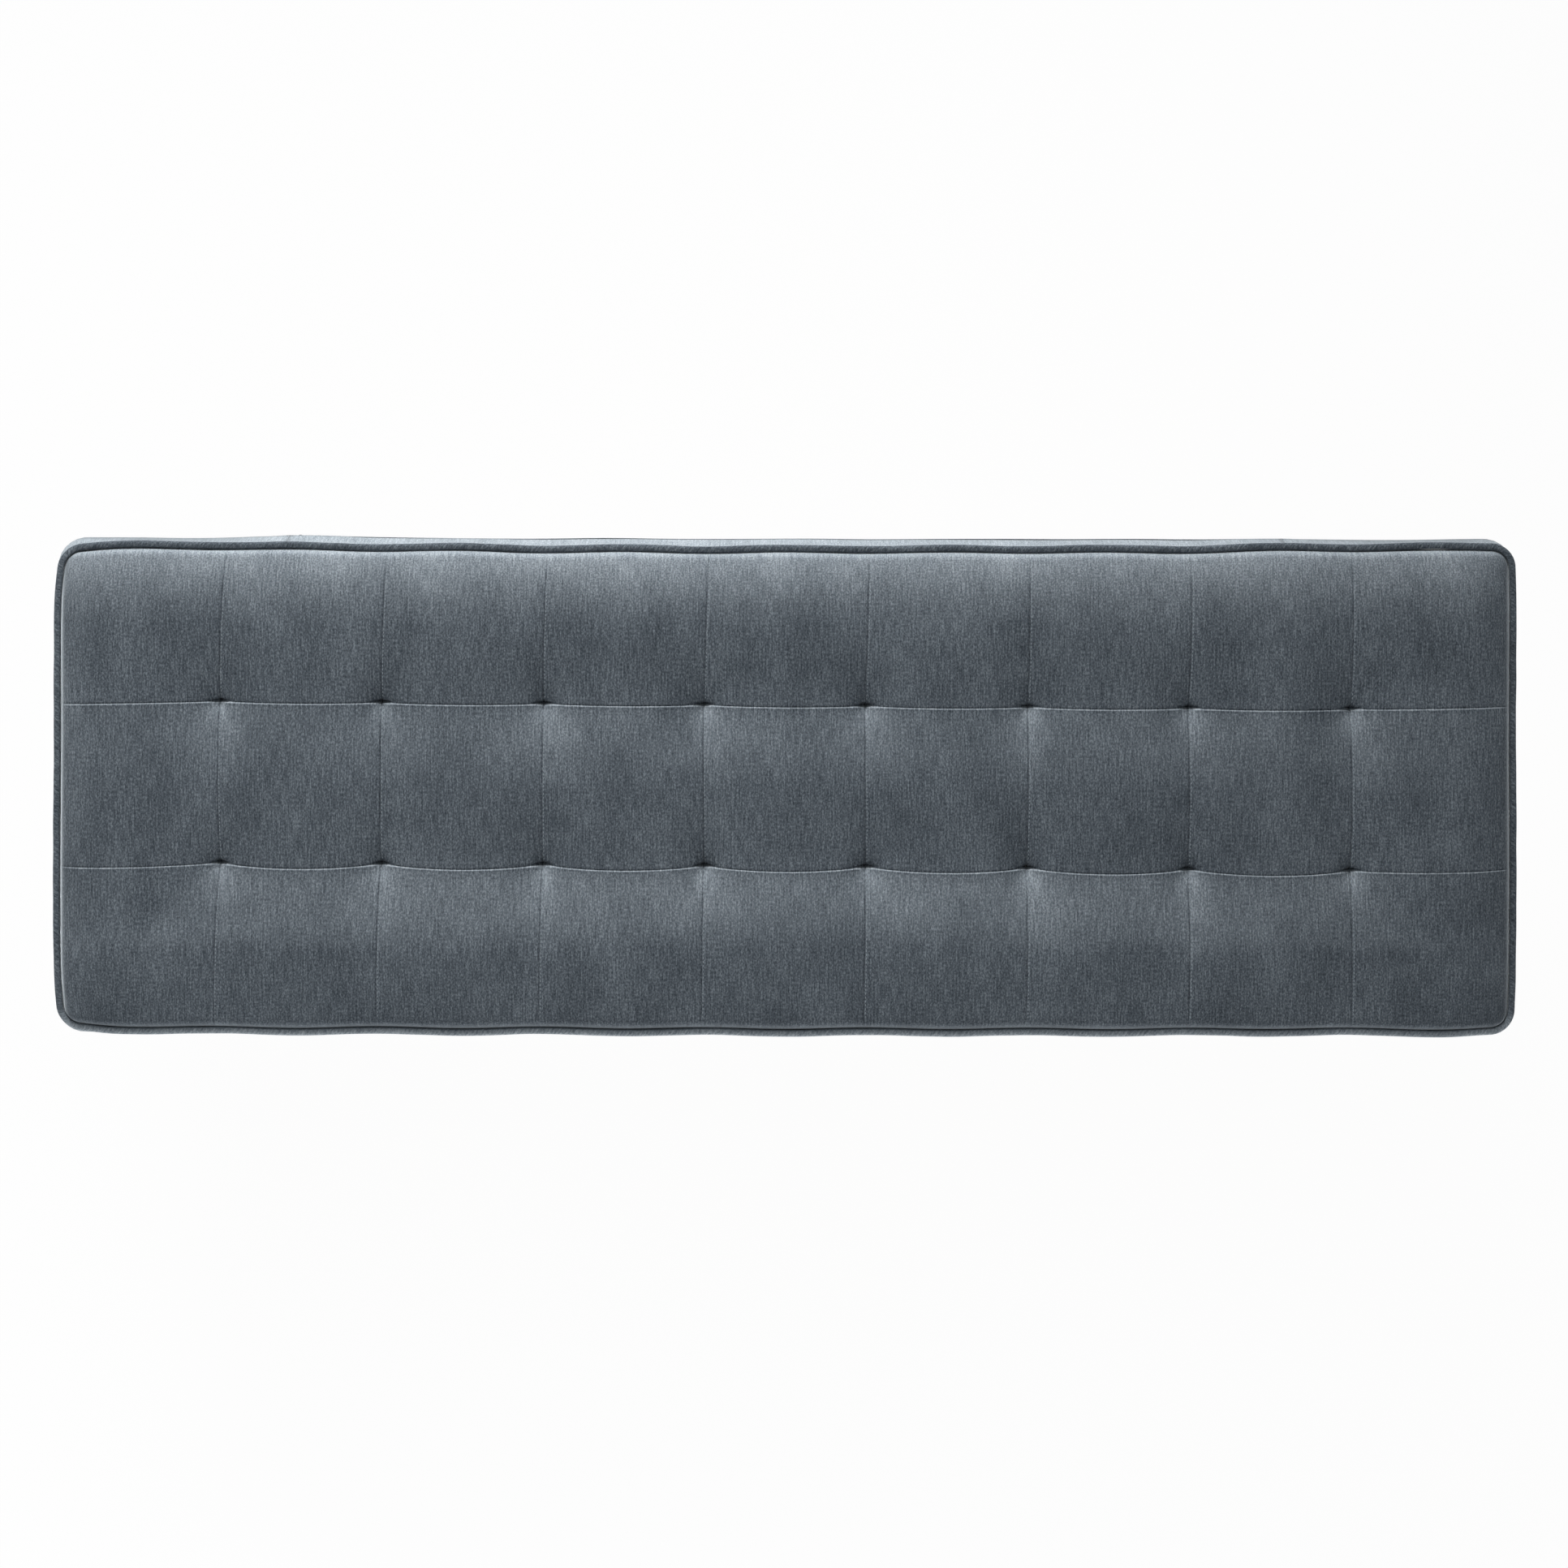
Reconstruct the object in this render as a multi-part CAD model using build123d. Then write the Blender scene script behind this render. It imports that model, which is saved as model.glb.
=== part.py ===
from build123d import *
import os

# Daybed: a loose box cushion in sewn squares on a low slatted wooden base with four turned legs.
# Millimetres. Origin on the floor under the middle, +X along the length, +Y to the back, +Z up.

# Cushion plan, measured over the piping
PIPED_LENGTH = 1900.0
PIPED_DEPTH = 638.0
CORNER_RADIUS = 32.0
SIDE_DRAW = 4.0  # the long sides bow in this far at their middle
END_DRAW = 2.0  # and the short ends this far

# Piping, border and cover cloth
PIPING_D = 9.0
CORD_D = 5.0
FABRIC_T = 2.0
BORDER_T = 2.5
BORDER_HEIGHT = 90.0
BORDER_BULGE = 6.0  # the border's middle stands this far outside the piping
BORDER_SETBACK = 2.0  # its sewn edges lie this far inside the piping's outer edge
SEAM_GAP = 0.3  # between soft pieces that press on each other

# Sewn squares of the top panel
CELL_COLUMNS = 9
CELL_ROWS = 3
ROW_SHIFT = 4.0  # the tuft rows lie a little to the back
RIM_RISE = 1.0  # the panel's rim above the piping's centre
RIM_SCALLOP = 1.5  # the rim lifts this much between two seams
CROWN_RISE = 33.0  # top of a square above the rim
SEAM_DIP = 8.0  # middle of a seam below the crown
TUFT_DIP = 23.0  # tuft below the crown
CORNER_DIP = 6.0  # the panel's corners below the rim
FILL_SKIRT = 10.0  # the fill reaches this far down inside the border

# Tufting
TWINE_D = 2.0
TWINE_CLEARANCE = 0.15
TOGGLE_D = 20.0
TOGGLE_T = 4.0
TOGGLE_CLEARANCE = 0.3

# Zip in the back border
ZIP_LENGTH = 1300.0
TAPE_W = 28.0
TAPE_T = 1.0
TAPE_END = 10.0  # tape beyond each end of the coil
COIL_W = 6.0
COIL_T = 2.2
SLIDER_L = 12.0
SLIDER_WALL = 1.4
ZIP_CLEARANCE = 0.3
ZIP_SIDE_ROOM = 1.3  # between the slider and a border strip
PULL_L = 26.0
PULL_W = 6.0
PULL_T = 1.0
PULL_EYE_D = 2.6
PULL_EYE_W = 2.6
PIN_D = 1.2
PIN_CLEARANCE = 0.1
EAR_T = 0.9

# Base frame
CUSHION_OVERHANG = 10.0  # piping beyond the rails' outer faces
RAIL_T = 24.0
RAIL_H = 72.0
RAIL_ROUND = 4.0
DOWEL_D = 8.0
DOWEL_IN_RAIL = 14.0
DOWEL_IN_END = 24.0
DOWEL_SPACING = 36.0
LEDGER_W = 20.0
LEDGER_H = 23.0
SLAT_COUNT = 10
SLAT_W = 85.0
SLAT_T = 18.0
SLAT_END_GAP = 1.0
CROSSBAR_W = 110.0
CROSSBAR_T = 28.0

# Legs and their fittings
LEG_LENGTH = 220.0
LEG_TOP_D = 50.0
LEG_FOOT_D = 28.0
LEG_END_INSET = 110.0  # from the frame's end to a leg's axis
LEG_SIDE_INSET = 75.0  # from the frame's side to a leg's axis
PLATE_SIZE = 70.0
PLATE_T = 3.0
PLATE_SCREW_PITCH = 50.0
BOLT_D = 8.0
BOLT_IN_LEG = 40.0
BOLT_ABOVE_PLATE = 12.0
BOLT_CLEARANCE = 1.0
PAD_D = 25.0
PAD_H = 10.0
PAD_ROUND = 1.5
STEM_D = 8.0
STEM_IN_LEG = 26.0
STEM_IN_PAD = 5.0
STEM_CLEARANCE = 0.05
STEM_END_ROOM = 2.0
INSERT_D = 12.0
INSERT_L = 18.0

# Wood screws
SCREW_D = 4.0
SCREW_HEAD_D = 8.0
SCREW_HEAD_H = 2.4
LEDGER_SCREW_BITE = 13.0  # thread beyond the piece that a screw holds on
SLAT_SCREW_BITE = 12.0
CROSSBAR_SCREW_BITE = 10.0
PLATE_SCREW_BITE = 15.0
SCREW_EDGE = 6.0  # slat and crossbar screws pass each other this far either side of the ledger's middle
LEDGER_SCREW_DROP = 7.0  # ledger screws below the slats
CROSSBAR_SCREW_PITCH = 70.0

# Levels, from the floor up
leg_z = PAD_H
plate_z = leg_z + LEG_LENGTH
crossbar_z = plate_z + PLATE_T
ledger_z = crossbar_z + CROSSBAR_T
slat_z = ledger_z + LEDGER_H
deck_z = slat_z + SLAT_T
rail_z = deck_z - RAIL_H
foam_z = deck_z + FABRIC_T
bottom_piping_z = deck_z + SEAM_GAP + PIPING_D / 2
border_z = bottom_piping_z + PIPING_D / 2 + SEAM_GAP
border_top_z = border_z + BORDER_HEIGHT
zip_z = border_z + BORDER_HEIGHT / 2
foam_top_z = border_top_z - FILL_SKIRT
top_piping_z = border_top_z + SEAM_GAP + PIPING_D / 2
rim_z = top_piping_z + RIM_RISE
crown_z = rim_z + CROWN_RISE

# Plan of the base
frame_length = PIPED_LENGTH - 2 * CUSHION_OVERHANG
frame_depth = PIPED_DEPTH - 2 * CUSHION_OVERHANG
inner_length = frame_length - 2 * RAIL_T
inner_depth = frame_depth - 2 * RAIL_T
leg_x = frame_length / 2 - LEG_END_INSET
leg_y = frame_depth / 2 - LEG_SIDE_INSET
slat_pitch = inner_length / SLAT_COUNT
slat_xs = [(i - (SLAT_COUNT - 1) / 2) * slat_pitch for i in range(SLAT_COUNT)]

# Plan of the top panel
panel_inset = PIPING_D + SEAM_GAP
panel_x = PIPED_LENGTH / 2 - panel_inset
panel_y = PIPED_DEPTH / 2 - panel_inset
column_xs = [-panel_x + 2 * panel_x * i / CELL_COLUMNS for i in range(CELL_COLUMNS + 1)]
row_ys = [-panel_y + 2 * panel_y * j / CELL_ROWS + ROW_SHIFT for j in range(CELL_ROWS + 1)]
row_ys[0] = -panel_y
row_ys[-1] = panel_y
tufts = [(x, y) for x in column_xs[1:-1] for y in row_ys[1:-1]]

CORNERS = {
    "front_left": (-1, -1),
    "front_right": (1, -1),
    "back_left": (-1, 1),
    "back_right": (1, 1),
}
nodes = {}


def block(x0, x1, y0, y1, z0, z1):
    """Box between two corners."""
    size = Box(x1 - x0, y1 - y0, z1 - z0)
    return Pos((x0 + x1) / 2, (y0 + y1) / 2, (z0 + z1) / 2) * size


def rod(diameter, length):
    """Cylinder that stands on the origin along +Z."""
    return Pos(0, 0, length / 2) * Cylinder(diameter / 2, length)


def group(solids):
    """Separate solids under one name."""
    return Compound(children=[s for part in solids for s in part.solids()])


def cut(piece, tools):
    """The piece with every tool taken out of it."""
    for tool in tools:
        piece = piece - tool
    return piece


# Wood screws and where they go


def flat_screw(length):
    """Countersunk screw down -Z, its flat head level with the origin."""
    profile = Polyline(
        (0, 0, 0),
        (SCREW_HEAD_D / 2, 0, 0),
        (SCREW_D / 2, 0, -SCREW_HEAD_H),
        (SCREW_D / 2, 0, -length),
        (0, 0, -length),
        close=True,
    )
    return revolve(make_face(profile), Axis.Z)


def pan_screw(length):
    """Pan-head screw up +Z, with the seat of its head at the origin."""
    return rod(SCREW_D, length) + Pos(0, 0, -SCREW_HEAD_H) * rod(SCREW_HEAD_D, SCREW_HEAD_H)


ledger_mid_y = inner_depth / 2 - LEDGER_W / 2
gap_xs = [(a + b) / 2 for a, b in zip(slat_xs, slat_xs[1:])]
slat_screws = [
    Pos(x, side * (ledger_mid_y + SCREW_EDGE / 2), deck_z) * flat_screw(SLAT_T + SLAT_SCREW_BITE)
    for x in slat_xs
    for side in (-1, 1)
]
ledger_screws = [
    Pos(x, side * (inner_depth / 2 - LEDGER_W), slat_z - LEDGER_SCREW_DROP)
    * Rot(side * 90, 0, 0)
    * flat_screw(LEDGER_W + LEDGER_SCREW_BITE)
    for x in gap_xs
    for side in (-1, 1)
]
crossbar_screws = [
    Pos(end * leg_x + step * CROSSBAR_SCREW_PITCH / 2, side * (ledger_mid_y - SCREW_EDGE / 2), crossbar_z)
    * Rot(180, 0, 0)
    * flat_screw(CROSSBAR_T + CROSSBAR_SCREW_BITE)
    for end in (-1, 1)
    for side in (-1, 1)
    for step in (-1, 1)
]
plate_screws = [
    Pos(
        sx * leg_x + dx * PLATE_SCREW_PITCH / 2,
        sy * leg_y + dy * PLATE_SCREW_PITCH / 2,
        plate_z,
    )
    * pan_screw(PLATE_T + PLATE_SCREW_BITE)
    for sx, sy in CORNERS.values()
    for dx in (-1, 1)
    for dy in (-1, 1)
]
nodes["slat_screws"] = group(slat_screws)
nodes["ledger_screws"] = group(ledger_screws)
nodes["crossbar_screws"] = group(crossbar_screws)
nodes["leg_plate_screws"] = group(plate_screws)

# Rails, joined at the corners by blind dowels

dowels = [
    Pos(
        sx * (frame_length - RAIL_T) / 2,
        sy * (inner_depth / 2 - DOWEL_IN_END),
        rail_z + RAIL_H / 2 + step * DOWEL_SPACING / 2,
    )
    * Rot(-sy * 90, 0, 0)
    * rod(DOWEL_D, DOWEL_IN_END + DOWEL_IN_RAIL)
    for sx, sy in CORNERS.values()
    for step in (-1, 1)
]
nodes["corner_dowels"] = group(dowels)


def long_rail(side):
    """Front (-1) or back (1) rail, rounded round its outer face."""
    rail = block(
        -frame_length / 2,
        frame_length / 2,
        *sorted((side * inner_depth / 2, side * frame_depth / 2)),
        rail_z,
        deck_z,
    )
    outer_face = rail.faces().sort_by(Axis.Y)[-1 if side > 0 else 0]
    rail = fillet(outer_face.edges(), RAIL_ROUND)
    return cut(rail, [t for t in dowels + ledger_screws if t.center().Y * side > 0])


def end_rail(side):
    """Left (-1) or right (1) rail, between the long ones."""
    rail = block(
        *sorted((side * inner_length / 2, side * frame_length / 2)),
        -inner_depth / 2,
        inner_depth / 2,
        rail_z,
        deck_z,
    )
    outer_face = rail.faces().sort_by(Axis.X)[-1 if side > 0 else 0]
    rail = fillet(outer_face.edges().filter_by(Axis.Y), RAIL_ROUND)
    return cut(rail, [t for t in dowels if t.center().X * side > 0])


nodes["front_rail"] = long_rail(-1)
nodes["back_rail"] = long_rail(1)
nodes["left_rail"] = end_rail(-1)
nodes["right_rail"] = end_rail(1)

# Ledgers under the slats, the slats and the crossbars that carry the legs


def ledger(side):
    """Strip along the inside of a long rail."""
    strip = block(
        -inner_length / 2,
        inner_length / 2,
        *sorted((side * inner_depth / 2, side * (inner_depth / 2 - LEDGER_W))),
        ledger_z,
        slat_z,
    )
    screws = slat_screws + ledger_screws + crossbar_screws
    return cut(strip, [t for t in screws if t.center().Y * side > 0])


nodes["front_ledger"] = ledger(-1)
nodes["back_ledger"] = ledger(1)

slat_reach = inner_depth / 2 - SLAT_END_GAP
for number, x in enumerate(slat_xs, start=1):
    slat = block(x - SLAT_W / 2, x + SLAT_W / 2, -slat_reach, slat_reach, slat_z, deck_z)
    own_screws = slat_screws[2 * number - 2 : 2 * number]
    nodes[f"slat_{number:02d}"] = cut(slat, own_screws)

hanger_bolts = [
    Pos(sx * leg_x, sy * leg_y, plate_z - BOLT_IN_LEG)
    * rod(BOLT_D, BOLT_IN_LEG + PLATE_T + BOLT_ABOVE_PLATE)
    for sx, sy in CORNERS.values()
]
nodes["leg_hanger_bolts"] = group(hanger_bolts)


def crossbar(end):
    """Flat bar across the frame above the two legs of one end."""
    bar = block(
        end * leg_x - CROSSBAR_W / 2,
        end * leg_x + CROSSBAR_W / 2,
        -inner_depth / 2,
        inner_depth / 2,
        crossbar_z,
        ledger_z,
    )
    bolt_room = rod(BOLT_D + 2 * BOLT_CLEARANCE, BOLT_ABOVE_PLATE + BOLT_CLEARANCE)
    rooms = [Pos(end * leg_x, side * leg_y, crossbar_z) * bolt_room for side in (-1, 1)]
    screws = [t for t in crossbar_screws + plate_screws if t.center().X * end > 0]
    return cut(bar, rooms + screws)


nodes["leg_crossbar_left"] = crossbar(-1)
nodes["leg_crossbar_right"] = crossbar(1)

# Leg plates, legs and levelling feet

plates = []
inserts = []
for index, (corner, (sx, sy)) in enumerate(CORNERS.items()):
    x = sx * leg_x
    y = sy * leg_y
    plate = Pos(x, y, plate_z + PLATE_T / 2) * Box(PLATE_SIZE, PLATE_SIZE, PLATE_T)
    plates.append(cut(plate, plate_screws[4 * index : 4 * index + 4] + [hanger_bolts[index]]))

    insert_room = Pos(x, y, leg_z) * rod(INSERT_D, INSERT_L)
    stem_room = Pos(x, y, leg_z) * rod(STEM_D + 2 * STEM_CLEARANCE, STEM_IN_LEG + STEM_END_ROOM)
    inserts.append(insert_room - stem_room)
    taper = Cone(LEG_FOOT_D / 2, LEG_TOP_D / 2, LEG_LENGTH)
    leg = Pos(x, y, leg_z + LEG_LENGTH / 2) * taper
    nodes[f"leg_{corner}"] = cut(leg, [hanger_bolts[index], insert_room, stem_room])

    stem = Pos(x, y, PAD_H - STEM_IN_PAD) * rod(STEM_D, STEM_IN_PAD + STEM_IN_LEG)
    pad = rod(PAD_D, PAD_H)
    pad = Pos(x, y, 0) * fillet(pad.faces().sort_by(Axis.Z)[0].edges(), PAD_ROUND)
    nodes[f"leveller_stem_{corner}"] = stem
    nodes[f"leveller_pad_{corner}"] = pad - stem
nodes["leg_plates"] = group(plates)
nodes["leveller_inserts"] = group(inserts)

# Cushion outline, drawn in along its sides, and the profile of its border


def side_curve(start, middle, end):
    """One side of the plan, straight or bowed through its middle point."""
    straight = start[0] == middle[0] == end[0] or start[1] == middle[1] == end[1]
    return Line(start, end) if straight else ThreePointArc(start, middle, end)


def outline(inset, draw=1.0):
    """Plan of the cushion inside the piping's outer edge, with a share of the full draw-in."""
    hx = PIPED_LENGTH / 2 - inset
    hy = PIPED_DEPTH / 2 - inset
    bow_x = hx - draw * END_DRAW
    bow_y = hy - draw * SIDE_DRAW
    plan = make_face(
        [
            side_curve((-hx, -hy), (0, -bow_y), (hx, -hy)),
            side_curve((hx, -hy), (bow_x, 0), (hx, hy)),
            side_curve((hx, hy), (0, bow_y), (-hx, hy)),
            side_curve((-hx, hy), (-bow_x, 0), (-hx, -hy)),
        ]
    )
    return fillet(plan.vertices(), CORNER_RADIUS - inset)


def border_form(depth, z0, z1):
    """Solid with the border's swelling sides, a depth inside its outer face."""
    sections = []
    for z in (z0, zip_z, z1):
        share = ((z - zip_z) / (BORDER_HEIGHT / 2)) ** 2
        inset = (BORDER_SETBACK + BORDER_BULGE) * share - BORDER_BULGE
        sections.append(Pos(0, 0, z) * outline(inset + depth, share))
    return loft(sections)


# Side border: front with its corners, two ends with the back corners, two strips beside the zip

zip_end = ZIP_LENGTH / 2
slider_half = COIL_W / 2 + ZIP_CLEARANCE + SLIDER_WALL
strip_edge = slider_half + ZIP_SIDE_ROOM
wrap_y = PIPED_DEPTH / 2 - 2 * CORNER_RADIUS
far_x = PIPED_LENGTH
far_y = PIPED_DEPTH
border = border_form(0, border_z, border_top_z) - border_form(BORDER_T, border_z, border_top_z)
nodes["border_front"] = border & block(-far_x, far_x, -far_y, -wrap_y, border_z, border_top_z)
end_zone = block(zip_end, far_x, -wrap_y, far_y, border_z, border_top_z)
end_side = block(far_x / 4, far_x, -wrap_y, wrap_y, border_z, border_top_z)
nodes["border_right"] = border & (end_zone + end_side)
nodes["border_left"] = border & mirror(end_zone + end_side, about=Plane.YZ)
upper_zone = block(-zip_end, zip_end, wrap_y, far_y, zip_z + strip_edge, border_top_z)
lower_zone = block(-zip_end, zip_end, wrap_y, far_y, border_z, zip_z - strip_edge)
nodes["border_back_upper"] = border & upper_zone
nodes["border_back_lower"] = border & lower_zone

# Zip: tape against the back of the strips, coil on the tape, slider and pull

tape_share = (TAPE_W / BORDER_HEIGHT) ** 2
tape_sink = (BORDER_SETBACK + BORDER_BULGE + SIDE_DRAW) * tape_share + SEAM_GAP
tape_y = PIPED_DEPTH / 2 + BORDER_BULGE - BORDER_T - tape_sink
coil_y = tape_y + COIL_T
tape_reach = zip_end + TAPE_END
nodes["zipper_tape"] = block(
    -tape_reach, tape_reach, tape_y - TAPE_T, tape_y, zip_z - TAPE_W / 2, zip_z + TAPE_W / 2
)
nodes["zipper_coil"] = block(-zip_end, zip_end, tape_y, coil_y, zip_z - COIL_W / 2, zip_z + COIL_W / 2)

slider_x = -zip_end + SLIDER_L
plate_y = coil_y + ZIP_CLEARANCE
face_y = plate_y + SLIDER_WALL
pin_y = face_y + ZIP_CLEARANCE + PULL_EYE_D / 2
ear_z = PULL_EYE_W / 2 + ZIP_CLEARANCE


def zip_slider():
    """Channel over the coil, with two ears and the pin that the pull hangs on."""
    x0 = slider_x - SLIDER_L / 2
    x1 = slider_x + SLIDER_L / 2
    channel = block(x0, x1, tape_y + ZIP_CLEARANCE, face_y, zip_z - slider_half, zip_z + slider_half)
    coil_room = COIL_W / 2 + ZIP_CLEARANCE
    channel = channel - block(x0, x1, tape_y, plate_y, zip_z - coil_room, zip_z + coil_room)
    ear_half = PULL_EYE_D / 2
    for low in (zip_z - ear_z - EAR_T, zip_z + ear_z):
        channel = channel + block(
            slider_x - ear_half, slider_x + ear_half, face_y, pin_y + ear_half, low, low + EAR_T
        )
    pin = Pos(slider_x, pin_y, zip_z - ear_z) * rod(PIN_D, 2 * ear_z)
    return channel + pin


def zip_pull():
    """Eye round the pin and a tab that lies along the zip."""
    eye = Pos(slider_x, pin_y, zip_z) * Cylinder(PULL_EYE_D / 2, PULL_EYE_W)
    neck_end = slider_x + PULL_EYE_D
    tab_end = slider_x + PULL_L
    y0 = pin_y - PULL_T / 2
    y1 = pin_y + PULL_T / 2
    neck = block(slider_x, neck_end, y0, y1, zip_z - PULL_EYE_W / 2, zip_z + PULL_EYE_W / 2)
    tab = block(neck_end, tab_end, y0, y1, zip_z - PULL_W / 2, zip_z + PULL_W / 2)
    tip = tab.edges().filter_by(Axis.Y).sort_by(Axis.X)[-2:]
    pin_room = Pos(slider_x, pin_y, zip_z) * Cylinder(PIN_D / 2 + PIN_CLEARANCE, PULL_EYE_W)
    return eye + neck + fillet(tip, PULL_W / 3) - pin_room


nodes["zip_slider"] = zip_slider()
nodes["zip_pull"] = zip_pull()

# Piping: a cord in a sewn cover, round the top and the bottom edge

for name, z in (("top", top_piping_z), ("bottom", bottom_piping_z)):
    path = (Pos(0, 0, z) * outline(PIPING_D / 2)).face().outer_wire()
    start = Plane(path @ 0, z_dir=path % 0)
    cord = sweep(start * Circle(CORD_D / 2), path=path)
    nodes[f"{name}_piping_cord"] = cord
    nodes[f"{name}_piping"] = sweep(start * Circle(PIPING_D / 2), path=path) - cord

# Foam core, stepped in above the bottom piping, with holes for the twine and room for toggles and zip

twine_room = TWINE_D + 2 * TWINE_CLEARANCE
toggle_room = TOGGLE_D + 2 * TOGGLE_CLEARANCE
foam = border_form(BORDER_T + SEAM_GAP, border_z, foam_top_z)
foam = foam + extrude(Pos(0, 0, foam_z) * outline(panel_inset), border_z - foam_z)
foam = foam - block(
    -tape_reach, tape_reach, tape_y - TAPE_T, far_y, zip_z - TAPE_W / 2, zip_z + TAPE_W / 2
)
holes = [Pos(x, y, foam_z) * rod(twine_room, foam_top_z - foam_z) for x, y in tufts]
seats = [Pos(x, y, foam_z) * rod(toggle_room, TOGGLE_T) for x, y in tufts]
nodes["foam_core"] = cut(foam, holes + seats)
nodes["bottom_panel"] = extrude(Pos(0, 0, deck_z) * outline(panel_inset), FABRIC_T)

# Top panel and the fill behind it: one crowned square between every four seams


def panel_height(i, j, x_mid, y_mid):
    """Top of the panel at a corner, a seam's middle or the middle of square i, j."""
    on_end = not x_mid and i in (0, CELL_COLUMNS)
    on_side = not y_mid and j in (0, CELL_ROWS)
    if on_end and on_side:
        return rim_z - CORNER_DIP
    if on_end or on_side:
        return rim_z + (RIM_SCALLOP if x_mid or y_mid else 0)
    if x_mid and y_mid:
        return crown_z
    return crown_z - (SEAM_DIP if x_mid or y_mid else TUFT_DIP)


def square_section(i, j, x_mid, drop, bottom):
    """Upright section of a square: an arched top, and a floor that is level or arched alike."""
    x = (column_xs[i] + column_xs[i + 1]) / 2 if x_mid else column_xs[i]
    y0 = row_ys[j]
    y1 = row_ys[j + 1]
    y = (y0 + y1) / 2
    z0 = panel_height(i, j, x_mid, False) - drop
    z = panel_height(i, j, x_mid, True) - drop
    z1 = panel_height(i, j + 1, x_mid, False) - drop
    if bottom is None:
        low0 = z0 - FABRIC_T
        low1 = z1 - FABRIC_T
        floor = ThreePointArc((x, y1, low1), (x, y, z - FABRIC_T), (x, y0, low0))
    else:
        low0 = bottom
        low1 = bottom
        floor = Line((x, y1, bottom), (x, y0, bottom))
    top = ThreePointArc((x, y0, z0), (x, y, z), (x, y1, z1))
    return make_face([top, Line((x, y1, z1), (x, y1, low1)), floor, Line((x, y0, low0), (x, y0, z0))])


def square(i, j, drop=0.0, bottom=None):
    """One sewn square, trimmed to the cushion's plan where it meets the rim."""
    sections = [
        square_section(i, j, False, drop, bottom),
        square_section(i, j, True, drop, bottom),
        square_section(i + 1, j, False, drop, bottom),
    ]
    form = loft(sections)
    if i in (0, CELL_COLUMNS - 1) or j in (0, CELL_ROWS - 1):
        form = form & plan_prism
    return form


plan_prism = extrude(Pos(0, 0, deck_z) * outline(panel_inset), 2 * (crown_z - deck_z))
twine_z = crown_z - TUFT_DIP - FABRIC_T - SEAM_GAP
twines = [Pos(x, y, foam_z + TOGGLE_T) * rod(TWINE_D, twine_z - foam_z - TOGGLE_T) for x, y in tufts]
fill_holes = [Pos(x, y, foam_top_z) * rod(twine_room, crown_z - foam_top_z) for x, y in tufts]
fills = []
for j in range(CELL_ROWS):
    nodes[f"top_panel_row_{j + 1}"] = group([square(i, j) for i in range(CELL_COLUMNS)])
    for i in range(CELL_COLUMNS):
        pad = square(i, j, FABRIC_T + SEAM_GAP, foam_top_z)
        beside = [
            hole
            for hole, (x, y) in zip(fill_holes, tufts)
            if x in column_xs[i : i + 2] and y in row_ys[j : j + 2]
        ]
        fills.append(cut(pad, beside))
nodes["biscuit_fill"] = group(fills)
nodes["tufting_twine"] = group(twines)
nodes["tuft_toggles"] = group([Pos(x, y, foam_z) * rod(TOGGLE_D, TOGGLE_T) for x, y in tufts])

os.makedirs("parts", exist_ok=True)
for name, shape in nodes.items():
    export_step(shape, f"parts/{name}.step")
print(len(nodes), "nodes, deck at", deck_z, "crown at", crown_z)
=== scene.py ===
# %% [markdown]
# # A tufted daybed, dressed in Blender
# The daybed is one long loose cushion on a low slatted base. The frame holds every piece at its real place
# and size, in metres. This lesson gives the pieces their cloth, wood and metal. The rigid pieces keep their
# shapes and only get a finish. The soft ones are modelled anew, because cloth swells, dips and creases.

# %% Load the frame
import math
from functools import partial

import bmesh
import bpy
import numpy as np
from mathutils import Matrix, Vector, noise


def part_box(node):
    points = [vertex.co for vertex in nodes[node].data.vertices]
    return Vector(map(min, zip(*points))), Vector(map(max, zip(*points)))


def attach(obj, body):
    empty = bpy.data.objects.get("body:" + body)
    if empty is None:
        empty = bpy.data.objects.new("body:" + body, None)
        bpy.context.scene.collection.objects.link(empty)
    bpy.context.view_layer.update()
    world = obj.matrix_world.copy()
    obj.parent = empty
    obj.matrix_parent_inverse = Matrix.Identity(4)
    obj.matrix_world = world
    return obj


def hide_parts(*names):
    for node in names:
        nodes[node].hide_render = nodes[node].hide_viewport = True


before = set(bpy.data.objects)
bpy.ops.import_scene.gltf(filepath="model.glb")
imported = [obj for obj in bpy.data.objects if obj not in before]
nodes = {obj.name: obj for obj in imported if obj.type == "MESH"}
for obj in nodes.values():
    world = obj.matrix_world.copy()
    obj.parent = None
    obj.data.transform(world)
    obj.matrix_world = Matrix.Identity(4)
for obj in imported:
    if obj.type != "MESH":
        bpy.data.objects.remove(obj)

scene = bpy.context.scene
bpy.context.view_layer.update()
MM = 0.001

# %% [markdown]
# ## Helpers for colour and shader nodes
# A colour picked from a picture is sRGB, and shaders work in linear light, so one function converts.
# Another adds a shader node with its settings and links in one call. A finish is then a short function that
# adds its nodes and says what goes into the shader, and a third helper makes a material of it.

# %% Colour and node helpers


def linear(code):
    """An sRGB hex colour as linear RGBA."""
    channels = [int(code[i : i + 2], 16) / 255 for i in (1, 3, 5)]
    return tuple(c / 12.92 if c <= 0.04045 else ((c + 0.055) / 1.055) ** 2.4 for c in channels) + (1.0,)


def set_inputs(tree, node, inputs):
    """Gives a node's inputs their values, or links them to the sockets that feed them."""
    for key, value in inputs.items():
        if isinstance(value, bpy.types.NodeSocket):
            tree.links.new(value, node.inputs[key])
        else:
            node.inputs[key].default_value = value


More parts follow.
